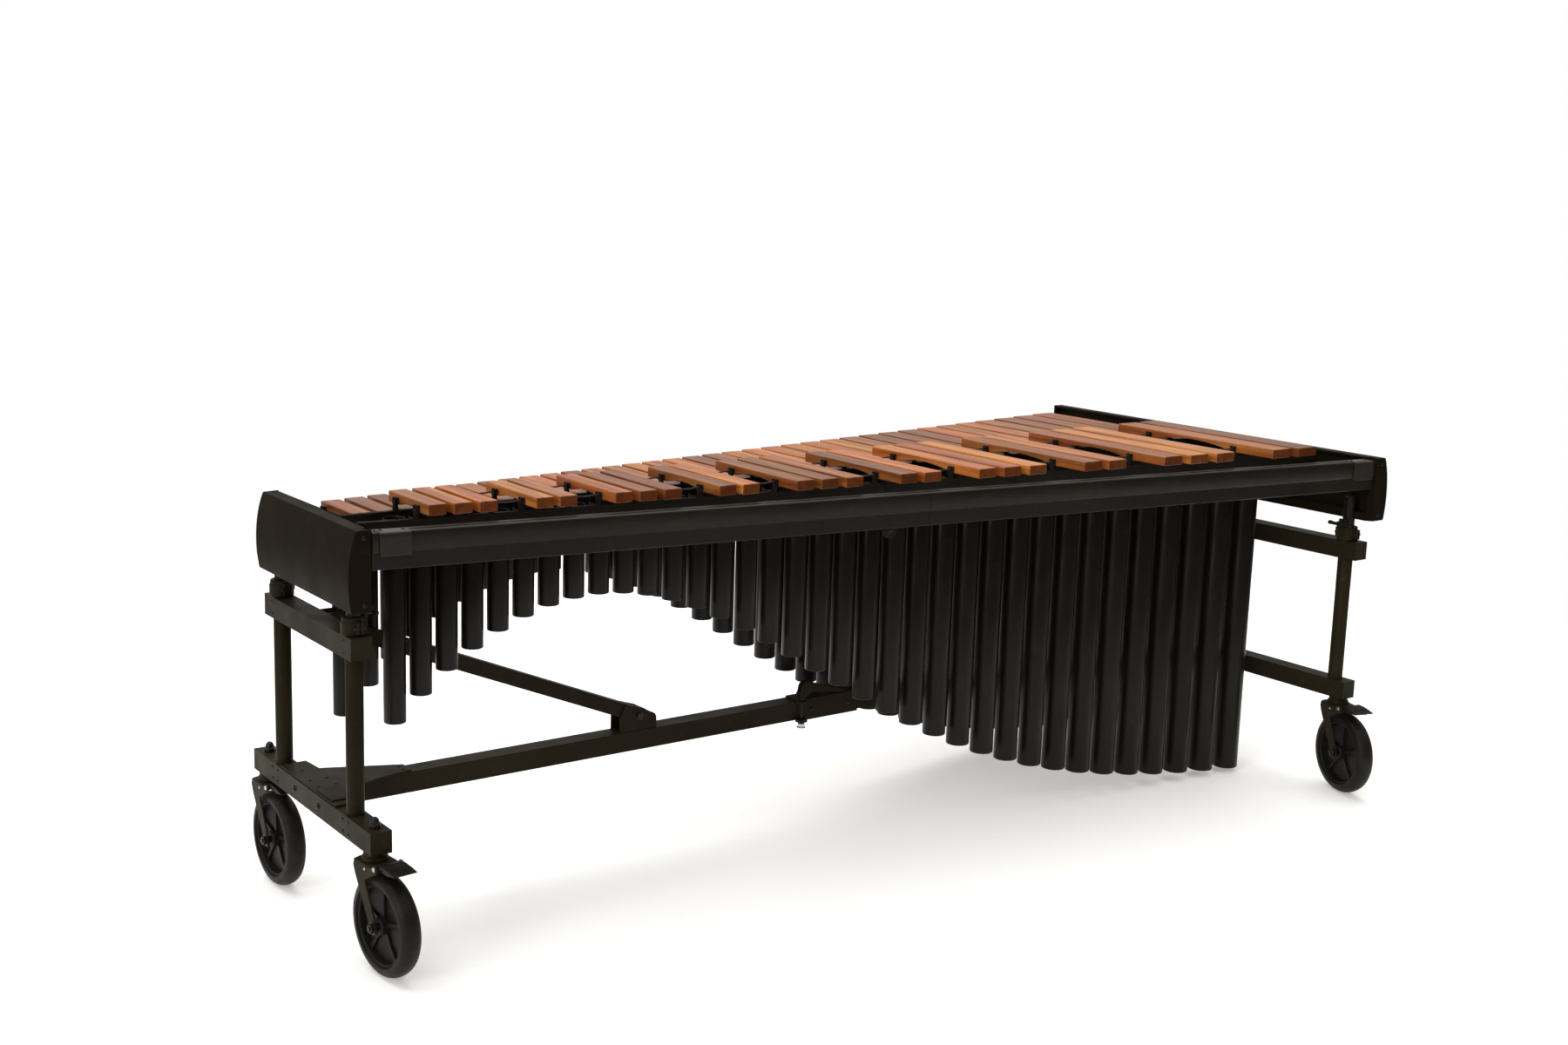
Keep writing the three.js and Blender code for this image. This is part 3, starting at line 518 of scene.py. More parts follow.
def natural_cells():
    """Centres and widths of the naturals, from the highest to the lowest."""
    found = []
    x = CELL["start"]
    for i in range(BARS):
        t = i / (BARS - 1)
        cell = CELL["first"] + CELL["grow"] * t + CELL["bend"] * t * t
        found.append((x + cell / 2, cell - (CELL["gap"] + CELL["gap_grow"] * t)))
        x += cell
    return found


def accidental_cells(naturals):
    """Centres and widths of the accidentals, each over the gap between two naturals."""
    found = []
    for i, (before, after) in enumerate(zip(naturals, naturals[1:])):
        if i % OCTAVE in ACCIDENTAL_SHIFT:
            centre = (before[0] + after[0]) / 2 + ACCIDENTAL_SHIFT[i % OCTAVE]
            found.append((centre, ACCIDENTAL_SHARE * (before[1] + after[1]) / 2))
    return found


NATURALS = natural_cells()
CELLS = {"natural": NATURALS, "accidental": accidental_cells(NATURALS)}


def half_of(x):
    return "high" if x < SEAM_X else "low"


def from_end(end, x):
    """A place measured from the high end's zero, or its mirror image at the low end."""
    return x if end == "high" else 2 * MIDDLE_X - x


def span(end, start, seam=SEAM_X):
    """The two x ends of a piece that runs from an end board to the seam."""
    return (start + GAP, seam - GAP) if end == "high" else (seam + GAP, from_end(end, start) - GAP)


def rail_top(row):
    return TOP_Z[row] - BAR_THICK - NODE_RAIL["drop"]


def cord_height(row):
    return TOP_Z[row] - BAR_THICK / 2


def bar_outline(row, y0, y1):
    """A bar from its side: a flat top, and an arch tuned into the middle of its underside."""
    length = y1 - y0
    top = TOP_Z[row]
    bottom = top - BAR_THICK
    lift = BAR_ARCH["lift"] * length / BAR_ARCH["at_length"] + BAR_ARCH["least"]
    under = []
    for i in range(BAR_ARCH["steps"] + 1):
        t = i / BAR_ARCH["steps"]
        y = y0 + length * (BAR_ARCH["start"] + BAR_ARCH["share"] * t)
        under.append((y, bottom + lift * math.sin(math.pi * t) ** 0.8))
    return [(y0, bottom), *under, (y1, bottom), (y1, top), (y0, top)]


def make_bar(row, number, centre, width):
    """One bar with eased edges and its own tone."""
    near, far = ROW_Y[row]
    piece = Piece().prism(bar_outline(row, near(centre), far(centre)), "X", *around(centre, width / 2))
    made = piece.done(f"{row}_bar_{number + 1:02d}", WOOD, "keyboard", bevel=BAR_EDGE, segments=3)
    tone = made.data.attributes.new("tone", "FLOAT_VECTOR", "POINT")
    own = (random.random(), random.random(), random.random())
    tone.data.foreach_set("vector", own * len(made.data.vertices))
    return made


def make_bars():
    for row, cells in CELLS.items():
        made = {"high": [], "low": []}
        for number, (centre, width) in enumerate(cells):
            made[half_of(centre)].append(make_bar(row, number, centre, width))
        for end in ENDS:
            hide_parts(f"{row}_bars_{end}")


def post_stations(row):
    """Where a post stands: once in each narrow gap, and beside each bar at a wide one."""
    cells = CELLS[row]
    first, last = cells[0], cells[-1]
    found = [first[0] - first[1] / 2 - POST["outside"]]
    for before, after in zip(cells, cells[1:]):
        left = before[0] + before[1] / 2
        right = after[0] - after[1] / 2
        if right - left < POST["wide_gap"]:
            found.append((left + right) / 2)
        else:
            found += [left + POST["beside"], right - POST["beside"]]
    found.append(last[0] + last[1] / 2 + POST["outside"])
    return found


def make_post_row(row, rail, end, stations):
    """Posts with rubber sleeves, each ending in a small fork that cradles the cord."""
    route = RAIL_Y[rail]
    foot, cord_z = rail_top(row), cord_height(row)
    sleeve_profile = [(0, foot), (5.6, foot), (5.8, foot + 2), (5.2, cord_z - 5), (4.4, cord_z - 2.6),
                      (0, cord_z - 2.6)]
    metal, sleeve = Piece(), Piece()
    for x in stations:
        y = route(x)
        metal.rod((x, y, 0), POST["r"], foot - 1, cord_z - 3.2, sides=12)
        sleeve.lathe(sleeve_profile, (x, y, 0), sides=16)
        for way in (-1, 1):
            tine = around(y + way * POST["fork"], 1.7)
            metal.box(around(x, 4.2), tine, (cord_z - 9, cord_z + 5.2))
    tag = f"{rail}_{end}"
    metal.done(f"posts_{tag}", BOLT_BLACK, "keyboard", bevel=0.5, segments=1)
    sleeve.done(f"post_sleeves_{tag}", SLEEVE_RUBBER, "keyboard")


def cord_points(row, rail, x0, x1):
    """The cord runs level through the bars and dips a little between two far posts."""
    route = RAIL_Y[rail]
    z = cord_height(row)
    stations = [x for x in post_stations(row) if x0 <= x <= x1]
    points = []
    for a, b in zip(stations, stations[1:]):
        wide = b - a > FAR_POSTS and not any(a < centre < b for centre, _ in CELLS[row])
        for i in range(CORD_STEPS):
            t = i / CORD_STEPS
            x = a + (b - a) * t
            dip = CORD_DIP * math.sin(math.pi * t) if wide else 0
            points.append((x, route(x), z - dip))
    points.append((stations[-1], route(stations[-1]), z))
    return points


def rail_body(row, rail, stations):
    """A channel rail: a tall web with a small flange at its foot and top."""
    route = RAIL_Y[rail]
    top = rail_top(row)
    foot = top - NODE_RAIL["tall"]
    web, flange = around(0, NODE_RAIL["web"]), around(0, NODE_RAIL["flange"])
    piece = Piece().slant(stations, route, web, (foot, top))
    piece.slant(stations, route, flange, (top - NODE_RAIL["flange"], top))
    return piece.slant(stations, route, flange, (foot, top - NODE_RAIL["foot"]))


def make_node_rails():
    rows = (("accidental", "accidental"), ("accidental", "accidental_inner"),
            ("natural", "natural_inner"), ("natural", "natural"))
    for row, rail in rows:
        for end in ENDS:
            x0, x1 = span(end, POCKET_X)
            node = f"center_rails_{end}" if rail.endswith("inner") else f"{rail}_rail_{end}"
            body = rail_body(row, rail, (x0, x1))
            body.done(f"node_rail_{rail}_{end}", RAIL_PAINT, "keyboard", [node], bevel=0.8, segments=1)
            clear = POST["clear"]
            stations = [x for x in post_stations(row) if x0 + clear < x < x1 - clear]
            make_post_row(row, rail, end, stations)
            cord = Piece().cord(cord_points(row, rail, x0, x1), CORD_R)
            cord.done(f"cord_{rail}_{end}", CORD, "keyboard")


def make_rail_ties():
    """Bolted plates that tie the two inner rails together."""
    for end in ENDS:
        x0, x1 = span(end, POCKET_X)
        ties = Piece()
        for x in (x0 + TIE["inset"], (x0 + x1) / 2, x1 - TIE["inset"]):
            y = (RAIL_Y["accidental_inner"](x), RAIL_Y["natural_inner"](x))
            ties.box(around(x, TIE["half"]), y, TIE["z"])
            ties.box(around(x, TIE["rib"]), y, TIE["rib_z"])
            for way in (-1, 1):
                ties.bolt((x + way * TIE["bolt"], (y[0] + y[1]) / 2, TIE["z"][1]), "Z", 1, 3.2, 2.4)
        ties.done(f"rail_ties_{end}", RAIL_PAINT, "keyboard", bevel=0.5, segments=1)


def front_rail_outline(x):
    """The front rail in (y, z): a rounded top with a groove, a crease and a set-back lower band."""
    y = RAIL_Y["front"](x)
    top, crease, bottom = FRONT_RAIL["top"], FRONT_RAIL["crease"], FRONT_RAIL["bottom"]
    face, back, r = y + FRONT_RAIL["recess"], y + FRONT_RAIL["depth"], FRONT_RAIL["round"]
    rounding = [(y + r - r * math.cos(a), top - r + r * math.sin(a)) for a in turns(0, 90, 5)]
    return [
        (face + 1.5, bottom), (face, bottom + 1.5), (face, crease - 2.5), (y + 0.6, crease),
        (y, crease + 1.2), *rounding,
        (y + 13, top), (y + 14, top - 3.5), (y + 19, top - 3.5), (y + 20, top),
        (back - 1, top), (back, top - 1), (back, crease), (back - 6, crease - 2), (back - 6, bottom),
    ]


def make_front_rails():
    for end in ENDS:
        piece = Piece().swept(front_rail_outline, span(end, PANEL["inner"]))
        piece.done(f"front_rail_body_{end}", RAIL_PAINT, "keyboard", [f"front_rail_{end}"], bevel=0.6)


def hook_outline(x):
    """A bent plate in (y, z), up the front rail's face and over its rounded top."""
    y = RAIL_Y["front"](x)
    bend = [(y + 4 - 8 * math.cos(a), 836 + 7.5 * math.sin(a)) for a in turns(15, 90, 5)]
    return [(y - 4, 797), (y - 4, 833), *bend, (y + 26, 843.5), (y + 26, 841.4), (y + 6, 841.4),
            (y - 0.4, 834), (y - 0.4, 797)]


def make_rail_hooks():
    """The plates that hook the front rail's ends to the end boards."""
    start, stop = RAIL_HOOK["start"], RAIL_HOOK["stop"]
    for end in ENDS:
        x0, x1 = span(end, PANEL["inner"])
        stations = (x0 + start, x0 + stop) if end == "high" else (x1 - stop, x1 - start)
        piece = Piece().swept(hook_outline, stations)
        for x in around(sum(stations) / 2, RAIL_HOOK["bolt"]):
            piece.bolt((x, RAIL_Y["front"](x) + 16, 843.4), "Z", 1, 3.4, 2.2)
        piece.done(f"rail_hook_{end}", BRACKET_PAINT, "keyboard", bevel=0.7)


def make_rail_latch():
    """A ribbed half-round wing under the front rail's seam."""
    x = RAIL_LATCH["x"]
    y = RAIL_Y["front"](x) + FRONT_RAIL["depth"] / 2
    top = FRONT_RAIL["bottom"] - GAP
    centre = (x, top - RAIL_LATCH["drop"])
    wing = arc(centre, RAIL_LATCH["r"], 180, 360, 24)
    piece = Piece().prism(wing, "Y", *around(y, RAIL_LATCH["half"]))
    piece.rod((x, y, 0), RAIL_LATCH["hub"], top - RAIL_LATCH["hub"], top, sides=28, edge=1.2)
    for rib_x, rib_z in arc(centre, RAIL_LATCH["rib_at"], 200, 340, 6):
        piece.rod((rib_x, y, rib_z), RAIL_LATCH["rib"], -3.8, 3.8, "Y", 10)
    piece.done("rail_latch_wing", PLASTIC, "rail_latch", ["rail_latch_knob"], bevel=0.7)


# ---- end boards ----

def make_panel(end):
    """Shell, front and back end walls, and the pocket that faces the bars."""
    y0, y1 = PANEL_Y[end]
    top, bottom = PANEL["top"], PANEL["bottom"]
    inner, pocket = from_end(end, PANEL["inner"]), from_end(end, POCKET_X)
    floor_z, roof_z = bottom + PANEL_WALL["floor"], top - PANEL_WALL["top"]
    bow = [(from_end(end, x), z) for x, z in curve(PANEL_BOW, 24)]
    outline = [(inner, bottom), (inner, top), *bow]
    shell = [(inner, top), *bow, (inner, bottom), (inner, floor_z), (pocket, floor_z), (pocket, roof_z),
             (inner, roof_z)]
    pocket_y = (y0 + PANEL_WALL["front"], y1 - PANEL_WALL["back"])
    piece = Piece().prism(shell, "Y", *pocket_y)
    piece.prism(outline, "Y", y0, pocket_y[0])
    piece.prism(outline, "Y", pocket_y[1], y1)
    bmesh.ops.remove_doubles(piece.bm, verts=piece.bm.verts, dist=0.01)
    piece.done(f"end_board_{end}", PANEL_PAINT, "keyboard", [f"end_panel_{end}"], bevel=PANEL["edge"],
               smooth=30)
    screws = Piece()
    for z in (bottom + PANEL_SCREW["inset"], top - PANEL_SCREW["inset"]):
        screws.bolt((from_end(end, PANEL_SCREW["front_x"]), y0, z), "Y", -1, 4.4, 2.6)
        screws.bolt((from_end(end, PANEL_SCREW["back_x"]), y1, z), "Y", 1, 4.4, 2.6)
    screws.done(f"board_screws_{end}", BOLT_BLACK, "keyboard")


def make_rods():
    """Height rods, each with a row of near-black discs where its height holes are: painted shade in place of
    the holes.
    """
    for end, side, tag in CORNERS:
        x, y = END_X[end], LEG_Y[end][side]
        rod = Piece().rod((x, y, 0), ROD["r"], ROD["foot"], ROD["head"], sides=40, edge=ROD["edge"])
        rod.done(f"rod_{tag}", RAIL_PAINT, "keyboard", [f"height_rod_{tag}"])
        # Near-black discs set into the rod's surface: painted shade standing in for its height holes.
        hole_shades = Piece()
        for i in range(HOLE_SHADE["count"]):
            centre = (x, y, HOLE_SHADE["first"] + HOLE_SHADE["pitch"] * i)
            for way in (-1, 1):
                reach = (way * ROD["r"] - HOLE_SHADE["before"], way * ROD["r"] + HOLE_SHADE["beyond"])
                for axis in "XY":
                    hole_shades.rod(centre, HOLE_SHADE["r"], *reach, axis, 12)
        hole_shades.done(f"rod_hole_shades_{tag}", BORE_SHADE_PAINT, "keyboard")


# ---- resonators ----

def tube_radius(x):
    t = min(max((x - TUBE["from"]) / (TUBE["to"] - TUBE["from"]), 0.0), 1.0)
    return TUBE["high"] + (TUBE["low"] - TUBE["high"]) * t


def tube_bottom(station):
    """Where a tube ends: high up under the arch, and lower towards both ends of the bank."""
    d = station - TUBE_ARCH["at"]
    if d < 0:
        return TUBE_ARCH["top"] - TUBE_ARCH["high_drop"] * d * d
    fall = math.exp(-((d / TUBE_ARCH["low_spread"]) ** 2))
    return TUBE_ARCH["low_foot"] + (TUBE_ARCH["top"] - TUBE_ARCH["low_foot"]) * fall


def bank_stations(bank):
    """Each tube's x and its place in the row. The front bank's tubes stand between the naturals."""
    centres = [centre for centre, _ in NATURALS]
    if bank == "back":
        return [(x, i - 0.5) for i, x in enumerate(centres)]
    return [((a + b) / 2, i) for i, (a, b) in enumerate(zip(centres, centres[1:]))]


def add_tube(outside, inside, x, y, station, mouth):
    """A tube with a rounded foot and lip, and a near-black liner in its bore that is painted shade for the
    tube's dark depth.
    """
    r = tube_radius(x)
    bore = r - TUBE["wall"]
    foot, turn = tube_bottom(station), TUBE["foot"]
    rounding = [(r - turn + turn * math.sin(a), foot + turn - turn * math.cos(a)) for a in turns(0, 90, 4)]
    lip = [(r, mouth - 1), (r - TUBE["wall"] / 2, mouth), (bore, mouth - 1)]
    end = mouth - TUBE["bore"]
    outside.lathe([(0, foot), *rounding, *lip, (bore, end), (0, end)], (x, y, 0), sides=40)
    # Painted shade: a near-black liner and floor that stand in for the darkness deep inside the tube.
    outer, inner = bore - BORE_SHADE_LINER["outer"], bore - BORE_SHADE_LINER["inner"]
    under, floor, rim = end + BORE_SHADE_LINER["under"], end + BORE_SHADE_LINER["floor"], mouth - BORE_SHADE_LINER["below_mouth"]
    inside.lathe([(0, under), (outer, under), (outer, rim), (inner, rim), (inner, floor), (0, floor)],
                 (x, y, 0), sides=40)


def make_strips(bank, tubes, x0, x1):
    """Hanging strips along both sides of half a bank, a screw at each tube and a cap at each end."""
    route, half = BANK_Y[bank], STRIP["half"]
    bends = [x for x in (TUBE["from"], TUBE["to"]) if x0 < x < x1]
    strips = Piece()
    for way in (-1, 1):
        def edge(x, way=way):
            return route(x) + way * (tube_radius(x) + half)
        strips.slant([x0, *bends, x1], edge, (-half, half), STRIP["z"])
        for x, _ in tubes:
            strips.bolt((x, edge(x) + way * half, sum(STRIP["z"]) / 2), "Y", way, 2.8, 1.4)
    cap = STRIP["cap"]
    for x in (x0, x1 - cap):
        strips.box((x, x + cap), around(route(x + cap / 2), tube_radius(x) + 2), STRIP["z"])
    return strips


def make_bank(bank):
    stations = bank_stations(bank)
    after = next(i for i, (x, _) in enumerate(stations) if x > SEAM_X)
    seam = (stations[after - 1][0] + stations[after][0]) / 2
    for end in ENDS:
        x0, x1 = span(end, STRIP["end"], seam)
        outside, inside = Piece(), Piece()
        tubes = [(x, station) for x, station in stations if x0 < x < x1]
        for x, station in tubes:
            add_tube(outside, inside, x, BANK_Y[bank](x), station, MOUTH_Z[bank])
        strips = make_strips(bank, tubes, x0, x1)
        tag = f"{bank}_{end}"
        outside.done(f"tubes_{tag}", TUBE_PAINT, "keyboard", [f"resonators_{tag}"], smooth=50)
        # The bores' near-black liners: painted shade.
        inside.done(f"bore_shades_{tag}", BORE_SHADE_PAINT, "keyboard")
        strips.done(f"bank_strips_{tag}", RAIL_PAINT, "keyboard", bevel=0.4, segments=1)


# ---- stand ----

def paint_cad_beams():
    """The square tubes keep their CAD meshes, with rounded corners and the frame's paint."""
    names = [f"{kind}_{end}" for kind in ("lower_crossbeam", "upper_crossbeam", "spine_beam", "brace")
             for end in ENDS]
    for name in [*names, "spine_sleeve"]:
        made = bpy.data.objects[name]
        made.data.materials.clear()
        made.data.materials.append(PAINT)
        round_edges(made, BEAM_EDGE)


def make_beam_plugs(end):
    x = END_X[end]
    plugs = Piece()
    for y, top in ((LOWER_Y[end][1], LOWER_TOP), (UPPER_Y[end][1], UPPER_TOP)):
        depth = (y - PLUG["inside"], y + PLUG["outside"])
        plugs.box(around(x, PLUG["half"]), depth, around(top - BEAM / 2, PLUG["half"]))
    plugs.done(f"beam_plugs_{end}", PLASTIC, "stand", bevel=1.0)


def make_beam_bolts(end):
    """Screws in the beams' outer faces and the nuts over the caster stems."""
    way = -INWARD[end]
    x = END_X[end]
    face = x + way * BEAM / 2
    bolts = Piece()
    for side in SIDES:
        leg, stem = LEG_Y[end][side], STEM_Y[end][side]
        for dy in (-13, 13):
            for z in (LOWER_TOP - 10, LOWER_TOP - BEAM + 10):
                bolts.bolt((face, leg + dy, z), "X", way, 3.2, 1.6)
        for z in around(UPPER_TOP - BEAM / 2, 13):
            bolts.bolt((face, leg, z), "X", way, 2.6, 1.3)
        if abs(leg - stem) > BEAM:
            bolts.hexagon((x, stem, 0), STEM_NUT["r"], LOWER_TOP, LOWER_TOP + STEM_NUT["top"])
            bolts.lathe(STEM_TIP, (x, stem, LOWER_TOP))
    for y in around(SPINE_Y, 60):
        bolts.bolt((face, y, LOWER_TOP - BEAM / 2), "X", way, 6.0, 3.6)
    bolts.done(f"beam_bolts_{end}", BOLT_BLACK, "stand")


def make_gusset(end):
    """A plate that narrows from the crossbeam to the spine, with a doubler by the front leg and its bolts."""
    way = INWARD[end]
    inset = BEAM / 2 - 2
    outer, inner = END_X[end] - way * inset, END_X[end] + way * BEAM / 2
    tip = END_X[end] + way * GUSSET["tip"]
    near = curve([(inner, 172), (inner + way * 14, SPINE_Y - 60), (inner + way * 60, SPINE_Y - inset - 16),
                  (tip, SPINE_Y - inset)], 18)
    far = [(tip, SPINE_Y + inset), (inner + way * 20, 392), (inner + way * 15, GUSSET["far"])]
    outline = [(outer, GUSSET["near"]), (inner - way * 6, GUSSET["near"]), *near, *far,
               (outer, GUSSET["far"])]
    top = LOWER_TOP + GUSSET["thick"]
    plate = Piece().prism(outline, "Z", LOWER_TOP + GAP, top)
    rim = outer + way * 3
    doubler = [(rim, 190), (inner - way * 1, 190), (inner + way * 6, 214), (inner + way * 26, 244),
               (inner + way * 4, 262), (rim, 262)]
    plate.prism(doubler, "Z", LOWER_TOP + 3.8, LOWER_TOP + 6.8)
    plate.done(f"gusset_{end}", PAINT, "stand", [f"gusset_plate_{end}"], bevel=0.7)
    bolts = Piece()
    for dx, dy in GUSSET_BOLTS:
        bolts.bolt((END_X[end] + way * dx, SPINE_Y + dy, top), "Z", 1, 3.8, 1.8)
    bolts.done(f"gusset_bolts_{end}", BOLT_BLACK, "stand")


def make_legs():
    foot, floor = LOWER_TOP + GAP, LOWER_TOP + LEG["floor"]
    profile = [(0, foot), (LEG["r"], foot), (LEG["r"], LEG["top"] - 1), (LEG["rim"], LEG["top"]),
               (LEG["bore"], LEG["top"]), (LEG["bore"], floor), (0, floor)]
    for end, side, tag in CORNERS:
        way, x, y = INWARD[end], END_X[end], LEG_Y[end][side]
        leg = Piece().lathe(profile, (x, y, 0), sides=48)
        leg.done(f"leg_{tag}", PAINT, "stand", [f"leg_tube_{tag}"])
        make_collar(way, x, y, tag)
        make_collar_bolts(x, y, tag)
        make_knob(way, x, y, tag)


def make_collar(way, x, y, tag):
    """A split clamp ring with two lugs and the tab that carries the wing screw."""
    r, bore, low, high = COLLAR["r"], COLLAR["bore"], UPPER_TOP + GAP, COLLAR["top"]
    neck, neck_z = COLLAR["neck"], COLLAR["neck_z"]
    ring = [(bore, low), (r - 1.5, low), (r, low + 1.5), (r, high - 10), (r - 2, high - 8),
            (r - 2, high - 1.5), (r - 3.5, high), (neck, high), (neck, neck_z), (bore, neck_z)]
    piece = Piece().lathe(ring, (x, y, 0), sides=48, closed=True)
    for side in (-1, 1):
        for split in (-1, 1):
            lug = around(x + split * CLAMP["split"], CLAMP["half"])
            piece.box(lug, beyond(y, side, 20, 31), (UPPER_TOP + 5, UPPER_TOP + 29))
    piece.box(beyond(x, way, 18.5, 25), around(y, 10), (UPPER_TOP + 12, 688))
    piece.done(f"collar_{tag}", PAINT, "stand", [f"height_collar_{tag}"], bevel=0.9)


def make_collar_bolts(x, y, tag):
    """The two cross bolts that pull the ring's halves together, each with its nut."""
    reach = CLAMP["reach"]
    bolts = Piece()
    for lug_y in around(y, CLAMP["bolt_y"]):
        bolts.rod((x, lug_y, CLAMP["bolt_z"]), 2.6, -reach, reach, "X", 14)
        bolts.bolt((x - reach, lug_y, CLAMP["bolt_z"]), "X", -1, 4.4, 4)
        bolts.hexagon((x, lug_y, CLAMP["bolt_z"]), 4.6, reach, reach + 3.5, "X")
    bolts.done(f"collar_bolts_{tag}", BOLT_BLACK, "stand")


def make_knob(way, x, y, tag):
    """A two-winged screw on the instrument's inner side."""
    z = KNOB["z"]
    face = x + way * KNOB["face"]
    shaft = sorted((x + way * (ROD["r"] + 0.6), face + way * 2))
    piece = Piece().rod((0, y, z), KNOB["shaft"], *shaft, "X", 16)
    piece.rod((0, y, z), KNOB["hub"], *beyond(face, way, 0, KNOB["hub_long"]), "X", 28, 1.2)
    for side in (-1, 1):
        tip = [(y + side * (27 + 5.6 * math.cos(a)), z + 4.8 * math.sin(a)) for a in turns(-75, 90, 11)]
        blade = [(y + side * 4, z - 4.4), (y + side * 22, z - 4.2), *tip, (y + side * 16, z + 2.6),
                 (y + side * 4, z + 4.4)]
        piece.prism(blade, "X", *beyond(face, way, 6, 12))
    piece.done(f"knob_wings_{tag}", PLASTIC, f"knob_{tag}", [f"height_knob_{tag}"], bevel=1.0)


def make_brace_hardware():
    """Bolt heads at each brace's pivot and hook."""
    for end in ENDS:
        way = INWARD[end]
        centre = (MIDDLE_X - way * BRACE["pivot"], SPINE_Y, BRACE["z"])
        pivot, hook = Piece(), Piece()
        for side in (-1, 1):
            pivot.hexagon(centre, BRACE["nut"], *beyond(0, side, 21, 26), "Y")
            pivot.rod(centre, BRACE["washer"], *beyond(0, side, 20.6, 21.6), "Y", 24)
            spot = (END_X[end] + way * BEAM / 2 + way * 16, SPINE_Y + side * 21, UPPER_TOP - 20)
            hook.bolt(spot, "Y", side, 5.4, 3.4)
        pivot.done(f"brace_pivot_{end}", BOLT_BLACK, "stand")
        hook.done(f"brace_hook_bolts_{end}", BOLT_BLACK, "stand")


def lever_outline():
    """The cam lever in (x, z): a round cam, a hump over it and a long curved handle."""
    x, z = LATCH["x"], LATCH["z"]
    cam = arc((x, z), LATCH["cam"], -90, -225, 14)
    back = curve([cam[-1], (x - 6, z + 36), (x + 12, z + 33), (x + 26, z + 26)], 8)
    handle = curve([(x + 26, z + 26), (x + 60, z + 14), (x + 90, z + 4), (x + 120, z - 1)], 10)
    under = curve([(x + 122, z - 8), (x + 80, z - 3), (x + 50, z + 2), (x + 22, z + 4)], 10)
    return [*cam, *back[1:], *handle[1:], *under]


def make_latch_lever():
    """Two cheeks around the pull rod's eye, joined along the handle, on one pin."""
    x, y, z = LATCH["x"], LATCH["y"], LATCH["z"]
    outline = lever_outline()
    lever = Piece()
    for side in (-1, 1):
        lever.prism(outline, "Y", *beyond(y, side, 4.8, 9))
    lever.prism([p for p in outline if p[0] > x + 14], "Y", *around(y, 5))
    lever.rod((x, y, z), 3, -10, 10, "Y", 16)
    lever.rod((x, y, z), 5, -10.4, -9, "Y", 16)
    lever.done("latch_cam_lever", PAINT, "latch_lever", ["latch_lever"], bevel=1.2)


def make_latch():
    """The spine's draw latch: its lever, pull rod and bright nut, and the sleeve's screws."""
    x, y, z, foot = LATCH["x"], LATCH["y"], LATCH["z"], LATCH["rod_foot"]
    make_latch_lever()
    rod = Piece().rod((x, y, 0), LATCH["rod"], foot, z - 4, sides=24)
    rod.rod((x, y, z), 7, -4, 4, "Y", 28, 0.8)
    rod.done("latch_pull_rod", BOLT_BLACK, "stand", ["latch_rod"])
    nut = Piece().hexagon((x, y, 0), 9, foot - 1, foot + 8)
    nut.rod((x, y, 0), 10.5, foot - 3.6, foot - 1, sides=28, edge=0.5)
    nut.rod((x, y, 0), 3.4, foot - 6, foot - 3, sides=20, edge=0.6)
    nut.done("latch_nut", STEEL, "stand")
    screws = Piece()
    for screw_x in SLEEVE_SCREWS_X:
        screws.bolt((screw_x, SLEEVE_FACE_Y, LOWER_TOP - BEAM / 2), "Y", -1, 4.6, 2.4)
    screws.done("sleeve_screws", BOLT_BLACK, "stand")


# ---- casters ----

def tyre_profile():
    """A closed section in (radius, side): a round tread over a recessed rim seat."""
    tread = []
    for i in range(TREAD["steps"] + 1):
        a = math.pi * i / TREAD["steps"]
        tread.append((TREAD["seat"] + TREAD["crown"] * math.sin(a) ** TREAD["fullness"],
                      WHEEL_HALF * math.cos(a)))
    return [*tread, (78, -WHEEL_HALF + 4), (78, WHEEL_HALF - 4)]


def spoke_outline(angle):
    along, across = Vector((math.cos(angle), math.sin(angle))), Vector((-math.sin(angle), math.cos(angle)))
    sides = [*SPOKE, *[(r, -half) for r, half in reversed(SPOKE)]]
    spots = [along * r + across * half for r, half in sides]
    return [(TRAIL + spot.x, WHEEL_R + spot.y) for spot in spots]


def make_wheel(place, tag):
    centre = (TRAIL, 0, WHEEL_R)
    tyre = Piece(place).lathe(tyre_profile(), centre, "Y", 72, closed=True)
    tyre.done(f"tyre_{tag}", TYRE, f"wheel_{tag}", [f"wheel_{tag}"], smooth=60)
    rim = Piece(place)
    for section, sides in ((RIM, 72), (HUB, 40), (WEB, 72)):
        rim.lathe(section, centre, "Y", sides, closed=True)
    for i in range(SPOKES):
        outline = spoke_outline(SPOKE_TURN + 2 * math.pi * i / SPOKES)
        rim.prism(outline, "Y", *around(0, SPOKE_HALF))
    rim.done(f"rim_{tag}", PLASTIC, f"wheel_{tag}", bevel=1.0)


def make_fork(place, tag):
    """The swivel's cup and crown, and the two side plates down to the axle."""
    fork = Piece(place).lathe(STEM_CUP, (0, 0, 0), sides=48)
    fork.prism(FORK_CROWN, "Z", 213, 217.5)
    side_plate = [*FORK_BACK, *arc((TRAIL, WHEEL_R), 15, 172, 340, 16), *FORK_FRONT]
    for way in (-1, 1):
        fork.prism(side_plate, "Y", *beyond(0, way, 26, 30))
    fork.done(f"fork_{tag}", PAINT, f"caster_{tag}", [f"caster_fork_{tag}"], bevel=1.4)


